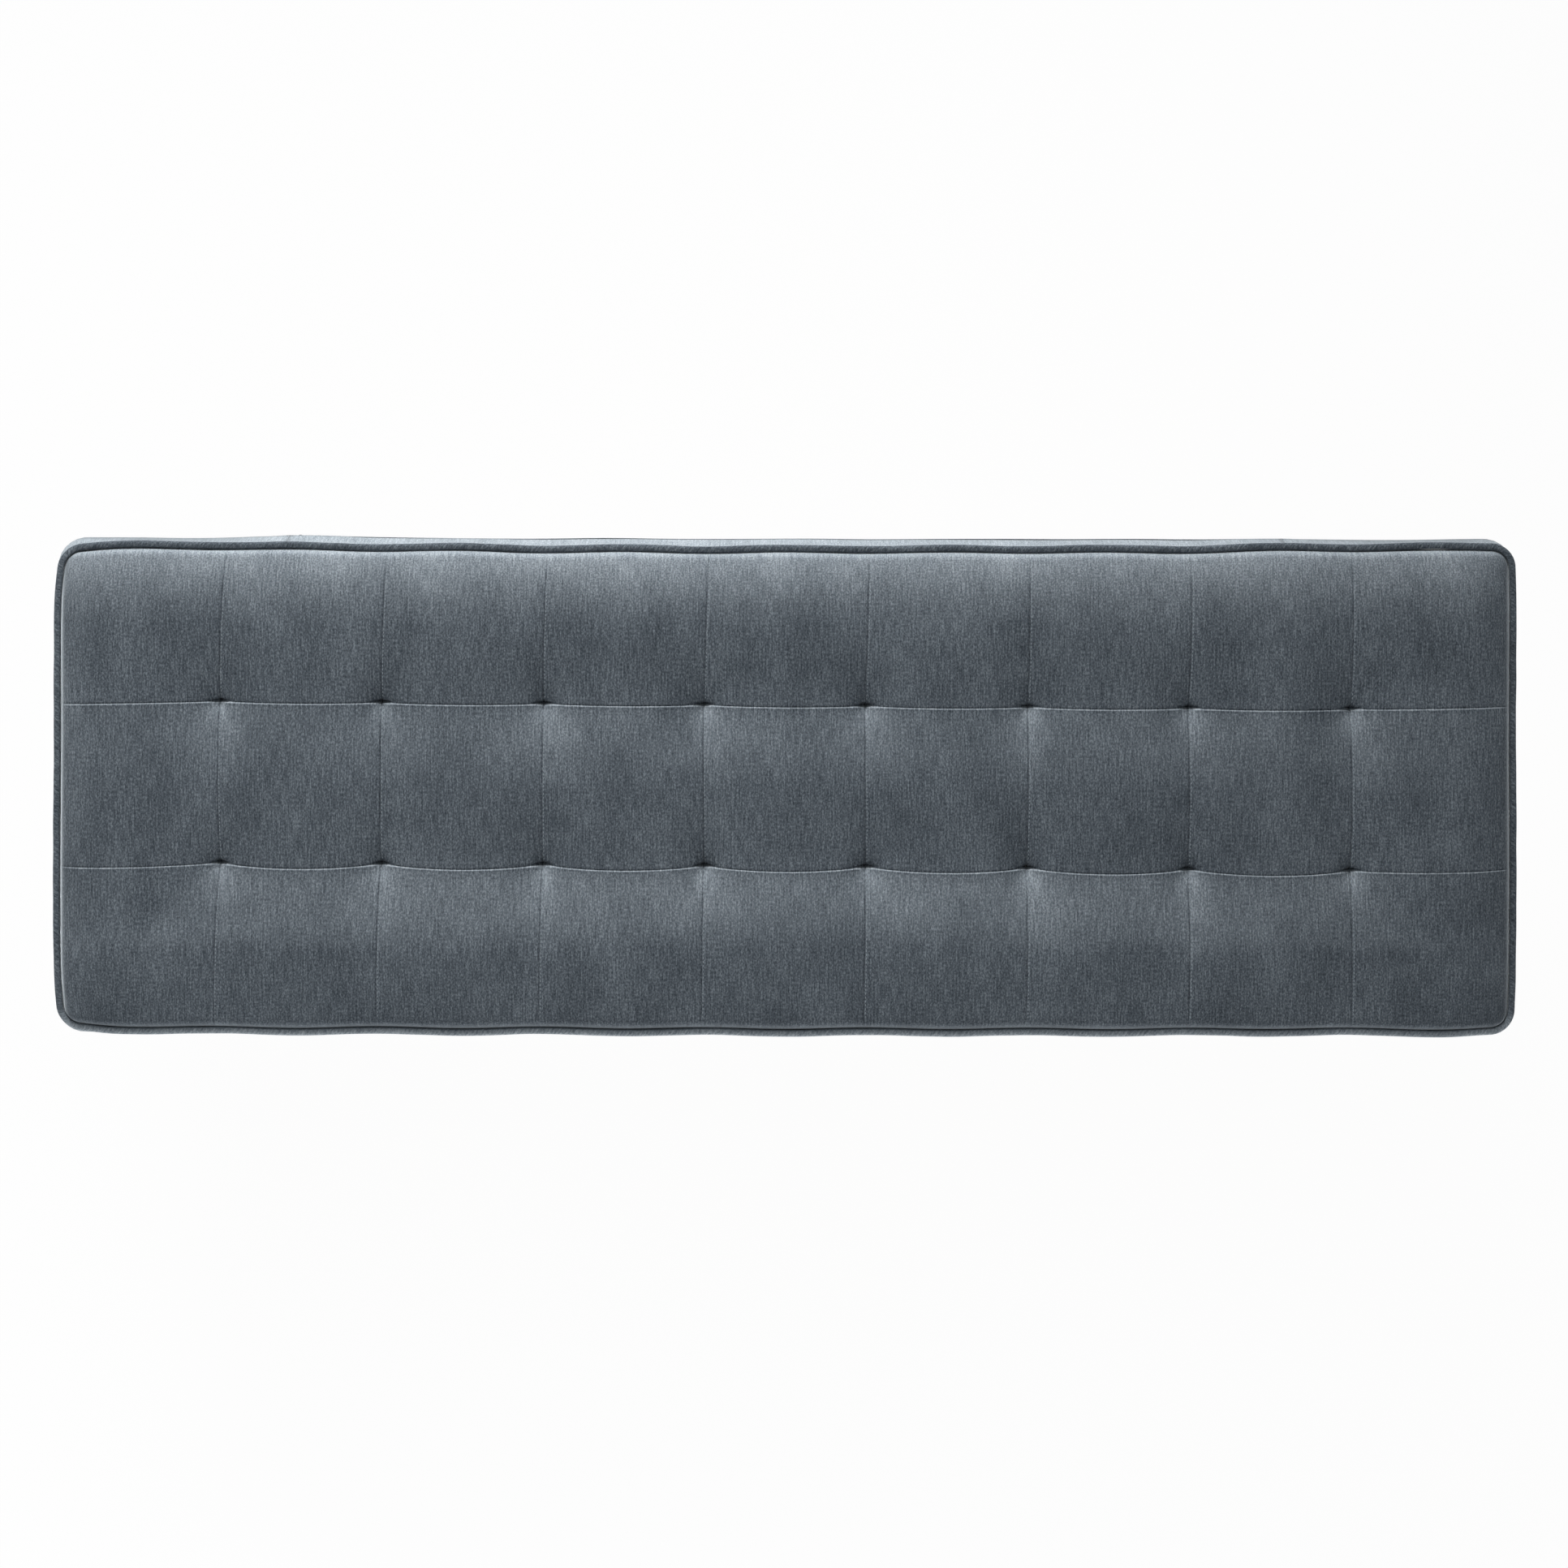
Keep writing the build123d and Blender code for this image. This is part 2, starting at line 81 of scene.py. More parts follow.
def add_node(tree, kind, inputs=None, **options):
    """A shader node with its options and its inputs."""
    node = tree.nodes.new("ShaderNode" + kind)
    for key, value in options.items():
        setattr(node, key, value)
    set_inputs(tree, node, inputs or {})
    return node


def make_material(name, finish, **details):
    """A material whose shader gets what finish gives; its add puts a node into the material's own tree."""
    material = bpy.data.materials.new(name)
    material.use_nodes = True
    tree = material.node_tree
    set_inputs(tree, tree.nodes["Principled BSDF"], finish(partial(add_node, tree), **details))
    return material


print("helpers ready")

# %% [markdown]
# ## Sizes that the cushion shares
# Every soft piece follows the cushion's plan: a long rectangle with rounded corners whose sides bow in a
# little between the corners, because the cloth pulls there. The sizes are read from the frame's own pieces.

# %% Cushion sizes from the frame
piping_low, piping_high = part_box("top_piping")
middle_low, middle_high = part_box("top_panel_row_2")
front_low, front_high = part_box("border_front")

PIPING_D = piping_high.z - piping_low.z
PIPING_Z = (piping_high.z + piping_low.z) / 2
HALF_X = 950.0 * MM  # over the piping, at the corners before they are rounded
HALF_Y = 321.5 * MM
CORNER_R = 32.0 * MM
SIDE_DRAW = 2.0 * MM  # how far the long sides bow in
END_DRAW = 0.5 * MM
BULGE = -front_low.y - HALF_Y  # the border's middle beyond the piping
SETBACK = 2.0 * MM  # the border's sewn edges inside the piping's outer edge
BORDER_Z0, BORDER_Z1 = front_low.z, front_high.z
BORDER_MID = (BORDER_Z0 + BORDER_Z1) / 2
FRONT_ROW_DROP = 3.5 * MM  # the front row of tufts lies this far in front of the solid panel's seam
ROW_FRONT, ROW_BACK = middle_low.y - FRONT_ROW_DROP, middle_high.y  # the two tufted seams
COLUMNS, ROWS = 9, 3
print("piping", round(PIPING_D / MM, 1), "mm, border bulge", round(BULGE / MM, 1), "mm")

# %% Walk round the plan
RUN_X = 2 * (HALF_X - CORNER_R)
RUN_Y = 2 * (HALF_Y - CORNER_R)
TURN = math.pi / 2 * CORNER_R
PERIMETER = 2 * (RUN_X + RUN_Y) + 4 * TURN
# each side: its length, its bow, the middle of its outer edge, its direction and its outward normal
SIDES = (
    (RUN_X, SIDE_DRAW, (0, -HALF_Y), (1, 0), (0, -1)),
    (RUN_Y, END_DRAW, (HALF_X, 0), (0, 1), (1, 0)),
    (RUN_X, SIDE_DRAW, (0, HALF_Y), (-1, 0), (0, 1)),
    (RUN_Y, END_DRAW, (-HALF_X, 0), (0, -1), (-1, 0)),
)


def plan_point(distance, inset):
    """A point of the plan that far along from the front left, and the outward normal there."""
    left = distance % PERIMETER
    for length, bow, middle, along, out in SIDES:
        if left <= length:
            share = 2 * left / length - 1
            pull = inset + bow * (1 - share * share)
            x = middle[0] + along[0] * (left - length / 2) - out[0] * pull
            y = middle[1] + along[1] * (left - length / 2) - out[1] * pull
            return x, y, out[0], out[1]
        left -= length
        if left <= TURN:
            angle = left / CORNER_R
            nx = out[0] * math.cos(angle) + along[0] * math.sin(angle)
            ny = out[1] * math.cos(angle) + along[1] * math.sin(angle)
            cx = middle[0] + along[0] * length / 2 - out[0] * CORNER_R
            cy = middle[1] + along[1] * length / 2 - out[1] * CORNER_R
            return cx + nx * (CORNER_R - inset), cy + ny * (CORNER_R - inset), nx, ny
        left -= TURN
    return plan_point(0.0, inset)


print("plan: %.3f m round" % PERIMETER)

# %% Where the top edge leaves its plan
CORNER_TUCK = {(-1, 1): 10 * MM, (1, 1): 3 * MM, (-1, -1): 9 * MM, (1, -1): 4 * MM}  # piping pulled in
TUCK_REACH = 58.0 * MM
TUCK_SHARE = 0.7  # of a tuck, along each axis
SIDE_LEAN = 4.5 * MM  # both long edges bow to the front
SCALLOP = 2.6 * MM  # and are drawn in at every sewn column
WAVER = 1.6 * MM
END_WAVER = 0.6 * WAVER
WAVER_LENGTH = 190.0 * MM
SIDE_HOLD, END_HOLD = 6, 18  # powers that keep the sway of an edge close to it
SCALLOP_HOLD = 8  # and the scallops away from the corners


def top_shift(x, y, tucked=1.0, swayed=1.0):
    """How far a point of the top edge stands to the right of its plan and behind it.

    The corners are tucked in and the sides sway; a point below the edge follows each by a share.
    """
    right = back = 0.0
    for (side_x, side_y), tuck in CORNER_TUCK.items():
        far = math.hypot(x - side_x * HALF_X, y - side_y * HALF_Y)
        pull = tucked * TUCK_SHARE * tuck * math.exp(-((far / TUCK_REACH) ** 2))
        right -= side_x * pull
        back -= side_y * pull
    to_end, to_side = min(1.0, abs(x / HALF_X)), min(1.0, abs(y / HALF_Y))
    at_end, at_side = swayed * to_end**END_HOLD, swayed * to_side**SIDE_HOLD
    end, side = math.copysign(9.0, x), math.copysign(4.0, y)  # every edge has its own noise
    back += at_side * WAVER * noise.noise((x / WAVER_LENGTH, side, 7.0))
    back -= at_side * SIDE_LEAN * (1 - to_end**2)
    drawn = 0.5 + 0.5 * math.cos(math.pi * COLUMNS * (1 + x / HALF_X))
    back -= at_side * math.copysign(SCALLOP, y) * drawn * (1 - to_end**SCALLOP_HOLD)
    right += at_end * END_WAVER * noise.noise((y / WAVER_LENGTH, end, 2.0))
    return right, back


print("top edge tucks:", {k: round(v / MM, 1) for k, v in CORNER_TUCK.items()})

# %% [markdown]
# ## A sheet that takes any shape
# Cloth pieces start as a flat grid from one operator. A function then puts each vertex in place, and the
# UV map keeps the flat cloth's own measure in metres, so that the nap runs the right way on every piece.

# %% Sheet helpers
WELD = 0.02 * MM


def add_object(name, bm):
    """An object at the origin from a bmesh, which it uses up."""
    mesh = bpy.data.meshes.new(name)
    bm.to_mesh(mesh)
    bm.free()
    piece = bpy.data.objects.new(name, mesh)
    scene.collection.objects.link(piece)
    return piece


def cushion_piece(name, bm, material, slot, *replaced, smooth=True):
    """A piece of the cushion from a bmesh, with its finish, in the place of the CAD nodes it replaces."""
    piece = add_object(name, bm)
    mesh = piece.data
    mesh.polygons.foreach_set("use_smooth", [smooth] * len(mesh.polygons))
    mesh.materials.append(material)
    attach(piece, "cushion")
    if replaced:
        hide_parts(*replaced)
    print(name + ":", len(mesh.polygons), "faces")
    return piece


def sheet_mesh(grid, place, cloth, weld=False):
    """A grid of columns by rows of quads; place(a, b) puts it in space and cloth(a, b) gives its UV."""
    bm = bmesh.new()
    uv = bm.loops.layers.uv.new("cloth")
    bmesh.ops.create_grid(bm, x_segments=grid[0], y_segments=grid[1], size=0.5)
    for face in bm.faces:
        for loop in face.loops:
            loop[uv].uv = cloth(loop.vert.co.x + 0.5, loop.vert.co.y + 0.5)
    for vert in bm.verts:
        vert.co = place(vert.co.x + 0.5, vert.co.y + 0.5)
    if weld:
        bmesh.ops.remove_doubles(bm, verts=bm.verts, dist=WELD)
        bmesh.ops.recalc_face_normals(bm, faces=bm.faces)
    return bm


def flat(length, width):
    """The UV of a sheet whose cloth is that long and wide."""
    return lambda a, b: (a * length, b * width)


print("sheet helpers ready")

# %% [markdown]
# ## Cotton velvet
# The cover is a cut-pile cotton velvet in slate blue-grey. Its pile leans one way, so the eye sees fine
# streaks along the nap, small flecks where tufts of pile part, and broad paler or darker patches where it
# was brushed. A paler tone is painted light: on the top where it faces the lamp at the back, on the border
# where it faces up, and on the piping along the front. The pile also glows at grazing angles, which is
# sheen. Real pile is about 0.3 mm across; the grain here is drawn near 2 mm so that it shows in a whole
# view.

# %% Tones and sums
MIX_A, MIX_B, MIX_OUT = 6, 7, 2  # colour sockets of a Mix node


def three_tones(add, share, dark, middle, light):
    """A colour that goes from dark over middle to light as the share goes from 0 to 1."""
    colour = linear(dark)
    for start, tone in ((0.0, middle), (0.5, light)):
        part = add("MapRange", {"Value": share, "From Min": start, "From Max": start + 0.5}).outputs[0]
        mixed = add("Mix", {0: part, MIX_A: colour, MIX_B: linear(tone)}, data_type="RGBA")
        colour = mixed.outputs[MIX_OUT]
    return colour


def weighted_sum(add, parts):
    """The sum of several values, each times its weight."""
    total = 0.0
    for value, weight in parts:
        total = add("Math", {0: value, 1: weight, 2: total}, operation="MULTIPLY_ADD").outputs[0]
    return total


print("three tones and weighted sums ready")

# %% Velvet material
# each pattern of the nap: its size across and along it in mm, its detail, its roughness and its weight
NAP = (
    ((2.0, 3.4), 2.0, 0.65, 0.52),  # grain
    ((2.2, 28.0), 3.0, 0.60, 0.34),  # streaks
    ((60.0, 130.0), 3.0, 0.50, 0.14),  # brushed patches
)
NAP_RANGE = (0.32, 0.68)  # the part of their sum that goes from the dark tone to the light one
PILE_BUMP = 0.5 * MM
DEEP_PILE = ("#343a40", "#565d64", "#828b92")
# paler tones, mixed in as painted light
PAINTED_LIGHT_TONES = ("#6b737a", "#98a1a8", "#c2c9ce")
BACK_LEFT = (-0.20, 0.98, 0.0)  # the top gets painted light where it faces this way, towards the key lamp
UP = (0.0, 0.0, 1.0)  # and the border gets painted light where it faces this way, on its upper half
PANEL_PAINTED_LIGHT, BORDER_PAINTED_LIGHT = 1.15, 4.0  # how soon the painted light is full as the cloth turns that way
FRONT_PAINTED_LIGHT = (CORNER_R - HALF_Y, 1.5 * PIPING_D - HALF_Y)  # y where the piping's painted light begins, and where it is full


def painted_light_towards(painted_light_way, paler):
    """Painted light: a paler tone where the cloth faces the given direction."""

    def share(add):
        normal = add("NewGeometry").outputs["Normal"]
        towards = add("VectorMath", {0: normal, 1: painted_light_way}, operation="DOT_PRODUCT").outputs["Value"]
        return add("MapRange", {"Value": towards, "To Max": paler}).outputs[0]

    return share


def painted_light_along_front(add):
    """Painted light: the piping paler along the front, where the panel's roll shades it from the key lamp.
    """
    spot = add("TexCoord").outputs["Object"]
    y = add("SeparateXYZ", {"Vector": spot}).outputs["Y"]
    return add("MapRange", {"Value": y, "From Min": FRONT_PAINTED_LIGHT[0], "From Max": FRONT_PAINTED_LIGHT[1]}).outputs[0]


def velvet(add, tips_share, turned=0.0):
    """Cut-pile velvet whose nap runs along V of the piece's own UV map, or is turned from it.

    The second argument gives, for an add, the share of painted light: a paler tone mixed into the cloth's
    own.
    """
    cloth = add("UVMap", uv_map="cloth").outputs["UV"]
    cut = add("Mapping", {"Vector": cloth, "Rotation": (0.0, 0.0, turned)}).outputs[0]
    patterns = []
    for (across, along), detail, rough, weight in NAP:
        scale = (1 / (across * MM), 1 / (along * MM), 1.0)
        mapped = add("Mapping", {"Vector": cut, "Scale": scale}).outputs[0]
        inputs = {"Vector": mapped, "Scale": 1.0, "Detail": detail, "Roughness": rough}
        patterns.append((add("TexNoise", inputs, noise_dimensions="2D").outputs["Fac"], weight))
    nap = weighted_sum(add, patterns)
    tone = add("MapRange", {"Value": nap, "From Min": NAP_RANGE[0], "From Max": NAP_RANGE[1]}).outputs[0]
    deep = three_tones(add, tone, *DEEP_PILE)
    # the paler tone of the painted light
    painted_light_tone = three_tones(add, tone, *PAINTED_LIGHT_TONES)
    colour = add("Mix", {0: tips_share(add), MIX_A: deep, MIX_B: painted_light_tone}, data_type="RGBA")
    pile = add("Bump", {"Strength": 0.5, "Distance": PILE_BUMP, "Height": nap})
    return {
        "Base Color": colour.outputs[MIX_OUT],
        "Normal": pile.outputs["Normal"],
        "Roughness": 0.92,
        "Specular IOR Level": 0.12,
        "Sheen Weight": 1.0,
        "Sheen Roughness": 0.30,
        "Sheen Tint": linear("#dfe7ec"),
    }


# painted light: the top paler where it faces the key lamp, the border where it faces up, the piping in
# front
PANEL = {"tips_share": painted_light_towards(BACK_LEFT, PANEL_PAINTED_LIGHT)}
BORDER = {"tips_share": painted_light_towards(UP, BORDER_PAINTED_LIGHT)}
BIAS = {"tips_share": painted_light_along_front, "turned": math.radians(45)}
panel_velvet = make_material("slate cotton velvet, painted light from the back", velvet, **PANEL)
border_velvet = make_material("slate cotton velvet, painted light on top", velvet, **BORDER)
bias_velvet = make_material("slate cotton velvet on the bias, painted light in front", velvet, **BIAS)
print("velvet in three cuts:", panel_velvet.name, "/", border_velvet.name, "/", bias_velvet.name)

# %% [markdown]
# ## The top of the cushion
# Nine by three velvet squares are sewn edge to edge, and twine pulls the panel down at every crossing. The
# panel is drawn tight at the rim, where it curls down to the piping, and swells between the seams. A cloth
# simulation makes that swelling: a sheet is held at the rim and the tufts, and pressure from below lifts
# the rest. The result is read back as a smooth displacement for a much finer mesh, which can then have
# creases that are narrower than the simulated sheet.

# %% Plan of the seams
RIM_INSET = PIPING_D + 0.2 * MM
PANEL_X = HALF_X - RIM_INSET
PANEL_Y = HALF_Y - RIM_INSET
PANEL_CORNER = CORNER_R - RIM_INSET
CELL_X = 2 * PANEL_X / COLUMNS
ROW_SLOPE = -0.0054  # the sewn rows run a little out of true, towards the front at the right
ROW_SAG = {1: 6.0 * MM, 2: 1.5 * MM}  # each row hangs to the front between two tufts
END_SAG = 0.3  # share of that sag between a tuft and the rim
COLUMN_LEAN = (9.0 * MM, -4.0 * MM)  # how far the first column leans, at the back and at the front
LEAN_LOSS = 0.8  # the last column leans less than the first by this share
SEAM_WANDER = 1.6 * MM
ROW_Y = (-PANEL_Y, ROW_FRONT, ROW_BACK, PANEL_Y)


def seam_y(row, u):
    """Where sewn row number row lies, u squares from the left."""
    if row in (0, ROWS):
        return ROW_Y[row]
    between = u - math.floor(u)
    ends = min(1.0, u, COLUMNS - u)
    sag = ROW_SAG[row] * 4 * between * (1 - between) * (1.0 if 1 <= u <= COLUMNS - 1 else END_SAG)
    return ROW_Y[row] + ROW_SLOPE * (u - COLUMNS / 2) * CELL_X * ends - sag


def column_shift(column, v):
    """How far sewn column number column stands out of true, v squares from the front."""
    if column in (0, COLUMNS):
        return 0.0
    fade = 1 - LEAN_LOSS * (column - 1) / (COLUMNS - 2)
    back = COLUMN_LEAN[0] * max(0.0, v - 2)
    front = COLUMN_LEAN[1] * max(0.0, 1 - v)
    wander = SEAM_WANDER * noise.noise((column * 3.7, v * 1.3, 0.5)) * min(1.0, v, ROWS - v)
    return fade * (back + front) + wander


def panel_plan(u, v):
    """A point of the panel's plan, u and v counted in squares from the front left."""
    column = min(int(u), COLUMNS - 1)
    row = min(int(v), ROWS - 1)
    a, b = u - column, v - row
    x = -PANEL_X + u * CELL_X + (1 - a) * column_shift(column, v) + a * column_shift(column + 1, v)
    y = (1 - b) * seam_y(row, u) + b * seam_y(row + 1, u)
    return x, y


def round_corner(x, y):
    """The plan with its corners rounded and its sides bowed in."""
    over_x = max(0.0, abs(x) - (PANEL_X - PANEL_CORNER)) / PANEL_CORNER
    over_y = max(0.0, abs(y) - (PANEL_Y - PANEL_CORNER)) / PANEL_CORNER
    if over_x > 0 and over_y > 0:
        new_x = PANEL_X - PANEL_CORNER + PANEL_CORNER * over_x * math.sqrt(1 - over_y**2 / 2)
        new_y = PANEL_Y - PANEL_CORNER + PANEL_CORNER * over_y * math.sqrt(1 - over_x**2 / 2)
        x = math.copysign(new_x, x)
        y = math.copysign(new_y, y)
    bow_x = END_DRAW * max(0.0, 1 - (y / PANEL_Y) ** 2) * abs(x / PANEL_X)
    bow_y = SIDE_DRAW * max(0.0, 1 - (x / PANEL_X) ** 2) * abs(y / PANEL_Y)
    return x - math.copysign(bow_x, x), y - math.copysign(bow_y, y)


print("square: %.0f by %.0f mm" % (CELL_X / MM, (ROW_BACK - ROW_FRONT) / MM))

# %% Height of the panel before it swells
RIM_Z = PIPING_Z - 1.5 * MM  # down in the groove beside the piping
PLATEAU = 28.5 * MM  # a seam's middle above the rim
START_DOME = 2.5 * MM  # a square's middle above its seams, before pressure
TUFT_PULL = 17.0 * MM
TUFT_UNEVEN = 0.25  # tufts are pulled harder or less by up to this share
TUFT_REACH = 28.0 * MM
VALLEY = 6.0 * MM  # the seams sink beside a tuft, most of all the ones along the nap
VALLEY_WIDTH = 15.0 * MM
VALLEY_ROUND = 2.0 * MM
VALLEY_ALONG = 62.0 * MM
VALLEY_ACROSS = 26.0 * MM
ROW_VALLEY = 0.7  # share of that depth in the seams across the nap
# the panel rolls up steeply beside the piping, then slowly: two widths, the power of the slow part, and
# the share of the height that comes quickly
CURL = {
    "front": (11.0 * MM, 120.0 * MM, 2.0, 0.70),
    "back": (9.0 * MM, 120.0 * MM, 3.0, 0.28),
    "end": (13.0 * MM, 60.0 * MM, 2.2, 0.50),
}
ROLL_POWER = 2.2


def curl(distance, roll_width, slow_width, slow_power, quick):
    """Share of the full height that far in from the rim."""
    roll = 1 - (1 - min(distance / roll_width, 1.0)) ** ROLL_POWER
    slow = 1 - (1 - min(distance / slow_width, 1.0)) ** slow_power
    return quick * roll + (1 - quick) * slow


def rim_shares(x, y):
    """Shares of the full height that the nearest end and the nearest side leave at a point of the plan."""
    side = CURL["back"] if y > 0 else CURL["front"]
    return curl(PANEL_X - abs(x), *CURL["end"]), curl(PANEL_Y - abs(y), *side)


def rim_rise(x, y):
    """Share of the full height at a point of the plan."""
    end, side = rim_shares(x, y)
    return end * side


def nearest_tuft(u, v):
    """Numbers of the nearest tuft, and how far a point lies to its right and behind it."""
    column = min(max(round(u), 1), COLUMNS - 1)
    row = min(max(round(v), 1), ROWS - 1)
    return column, row, (u - column) * CELL_X, (v - row) * CELL_X


def tuft_dip(u, v):
    """How far the twine pulls the panel down."""
    column, row, right, behind = nearest_tuft(u, v)
    pull = TUFT_PULL * (1 + TUFT_UNEVEN * noise.noise((column * 1.7, row * 2.3, 0.4)))
    cone = pull * math.exp(-math.hypot(right, behind) / TUFT_REACH)
    along = math.exp(-math.hypot(right, VALLEY_ROUND) / VALLEY_WIDTH - abs(behind) / VALLEY_ALONG)
    across = math.exp(-math.hypot(behind, VALLEY_ROUND) / VALLEY_WIDTH - abs(right) / VALLEY_ACROSS)
    return cone + VALLEY * max(along, ROW_VALLEY * across)


def panel_height(u, v, x, y):
    """Height of the panel before pressure."""
    a, b = u - math.floor(u), v - math.floor(v)
    swell = START_DOME * math.sin(math.pi * a) * math.sin(math.pi * b)
    return RIM_Z + rim_rise(x, y) * (PLATEAU + swell - tuft_dip(u, v))


print("seam before pressure: %.1f mm" % ((RIM_Z + PLATEAU) / MM))

# %% Swell the squares with cloth
SIM_STEPS = 16  # sheet quads along a square
SIM_FRAMES = 20
SIM_CAP = 9.0 * MM
EASE_PASSES = 6  # rounds of averaging that take out the sheet's finest folds


def ease(field, sewn):
    """Averages every point with its neighbours and leaves the sewn points where they are."""
    for _ in range(EASE_PASSES):
        wide = np.pad(field, ((1, 1), (1, 1), (0, 0)), mode="edge")
        near = (wide[:-2, 1:-1] + wide[2:, 1:-1] + wide[1:-1, :-2] + wide[1:-1, 2:]) / 4
        field = np.where(sewn, field, (field + near) / 2)
    return field


def sim_sheet():
    """The panel as an even sheet, before it is pinned."""

    def place(a, b):
        u, v = a * COLUMNS, b * ROWS
        x, y = panel_plan(u, v)
        z = panel_height(u, v, x, y)
        return (*round_corner(x, y), z)

    grid = (COLUMNS * SIM_STEPS, ROWS * SIM_STEPS)
    return add_object("sim_sheet", sheet_mesh(grid, place, flat(1.0, 1.0)))


def swell_sheet():
    """Displacement under pressure of the sheet pinned at the rim and the tufts, rows by columns by 3."""
    sheet = sim_sheet()
    wide, deep = COLUMNS * SIM_STEPS + 1, ROWS * SIM_STEPS + 1
    rest = np.array([v.co for v in sheet.data.vertices])
    index = np.arange(len(rest))
    column, row = index % wide, index // wide
    at_rim = (column == 0) | (column == wide - 1) | (row == 0) | (row == deep - 1)
    pinned = at_rim | ((column % SIM_STEPS == 0) & (row % SIM_STEPS == 0))
    pins = sheet.vertex_groups.new(name="sewn")
    pins.add([int(i) for i in index[pinned]], 1.0, "REPLACE")
    cloth = sheet.modifiers.new("Cloth", "CLOTH")
    settings = cloth.settings
    settings.vertex_group_mass = "sewn"
    settings.quality = 8
    settings.mass = 0.35
    settings.tension_stiffness = 25
    settings.compression_stiffness = 25
    settings.shear_stiffness = 12
    settings.bending_stiffness = 4.0
    settings.use_pressure = True
    settings.uniform_pressure_force = 3.0
    settings.effector_weights.gravity = 0.0
    cloth.collision_settings.use_collision = False
    for number in range(1, SIM_FRAMES + 1):
        scene.frame_set(number)
    evaluated = sheet.evaluated_get(bpy.context.evaluated_depsgraph_get())
    moved = np.array([v.co for v in evaluated.data.vertices]) - rest
    length = np.linalg.norm(moved, axis=1, keepdims=True)
    moved *= np.minimum(1.0, SIM_CAP / np.maximum(length, 1e-9))
    scene.frame_set(1)
    bpy.data.objects.remove(sheet)
    print("cloth moved %.1f mm at most, %.1f mm on average" % (length.max() / MM, length.mean() / MM))
    return ease(moved.reshape(deep, wide, 3), pinned.reshape(deep, wide, 1))


swollen = swell_sheet()

# %% Creases of the top
SEAM_DEPTH = 1.0 * MM  # a row's crease, and the lip in front of it that catches the light
SEAM_WIDTH = 0.9 * MM
LIP_HEIGHT = 0.32 * MM
LIP_WIDTH = 0.9 * MM
LIP_AHEAD = 1.6 * MM
STITCH_DEPTH = 1.9 * MM  # a column's crease
STITCH_WIDTH = 0.9 * MM
SLIT_DEPTH = 9.0 * MM  # the pocket that the twine pulls behind the lip
SLIT_LONG = 10.5 * MM
SLIT_SHORT = 2.2 * MM
PUCKER_DEPTH = 1.6 * MM  # the gathers where the panel turns a corner
PUCKER_REACH = 62.0 * MM
PUCKER_END = 1.15 * PUCKER_REACH  # they are full from here outwards
PUCKER_FADE = 5  # power of their fading on the way in
PUCKER_MEAN, PUCKER_SPREAD = 0.6, 0.5  # their uneven depth
PUCKERS = 5


def bump_shape(distance, width):
    """A bell curve of height 1."""
    return math.exp(-((distance / width) ** 2))


def corner_pucker(x, y):
    """Depth of the gathers, which fan out from inside each corner and end at its rim."""
    over_x = abs(x) - PANEL_X + PUCKER_REACH
    over_y = abs(y) - PANEL_Y + PUCKER_REACH
    if over_x <= 0 or over_y <= 0:
        return 0.0
    angle = math.atan2(over_y, over_x)
    far = min(1.0, math.hypot(over_x, over_y) / PUCKER_END)
    own = noise.noise((angle * 3, math.copysign(5, x), math.copysign(3, y)))  # every corner has its own
    depth = PUCKER_DEPTH * (PUCKER_MEAN + PUCKER_SPREAD * own) * far**PUCKER_FADE
    return depth * math.sin(2 * angle) * math.sin(2 * PUCKERS * angle) ** 2


def seam_crease(u, v):
    """Depth of the sewn creases and of the slit at a tuft."""
    column, row, right, behind = nearest_tuft(u, v)
    row_crease = SEAM_DEPTH * bump_shape(behind - 0.5 * SEAM_WIDTH, SEAM_WIDTH)
    row_crease -= LIP_HEIGHT * bump_shape(behind + LIP_AHEAD, LIP_WIDTH)
    column_crease = STITCH_DEPTH * bump_shape(right, STITCH_WIDTH)
    slit = SLIT_DEPTH * bump_shape(right, SLIT_LONG) * bump_shape(behind - SLIT_SHORT, SLIT_SHORT)
    return row_crease + column_crease + slit


print("creases %.1f and %.1f mm deep" % (SEAM_DEPTH / MM, STITCH_DEPTH / MM))

# %% Fine mesh of the top
FINE_STEPS = 36  # quads along a square
CROWDING = 0.9  # how strongly they crowd towards the seams
LOW_WAVES = 1.2 * MM
WAVE_LENGTH = 160.0 * MM


def crowd(t):
    """Moves an even share towards the nearest whole number, where the seams are."""
    return t - CROWDING * math.sin(2 * math.pi * t) / (2 * math.pi)


def swelling(u, v):
    """The simulated displacement at u, v; the outer half squares stay as full as their middles."""
    i = min(max(u, 0.5), COLUMNS - 0.5) * SIM_STEPS
    j = min(max(v, 0.5), ROWS - 0.5) * SIM_STEPS
    i0, j0 = min(int(i), COLUMNS * SIM_STEPS - 1), min(int(j), ROWS * SIM_STEPS - 1)
    a, b = i - i0, j - j0
    low = swollen[j0, i0] * (1 - a) + swollen[j0, i0 + 1] * a
    high = swollen[j0 + 1, i0] * (1 - a) + swollen[j0 + 1, i0 + 1] * a
    return low * (1 - b) + high * b


def top_surface(u, v):
    """A point of the finished top, u and v counted in squares from the front left."""
    x, y = panel_plan(u, v)
    z = panel_height(u, v, x, y)
    waves = LOW_WAVES * noise.noise((x / WAVE_LENGTH, y / WAVE_LENGTH, 2.0))
    z += rim_rise(x, y) * (waves - seam_crease(u, v) - corner_pucker(x, y))
    push = rim_rise(x, y) * swelling(u, v)
    x, y = round_corner(x, y)
    right, back = top_shift(x, y)
    return x + right + push[0], y + back + push[1], z + push[2]


def top_cloth(u, v):
    """The same point on the flat cloth, which is longer than the plan where it rolls down to the rim."""
    x, y = panel_plan(u, v)
    end, side = rim_shares(x, y)
    return x + math.copysign(PLATEAU * (1 - end), x), y + math.copysign(PLATEAU * (1 - side), y)


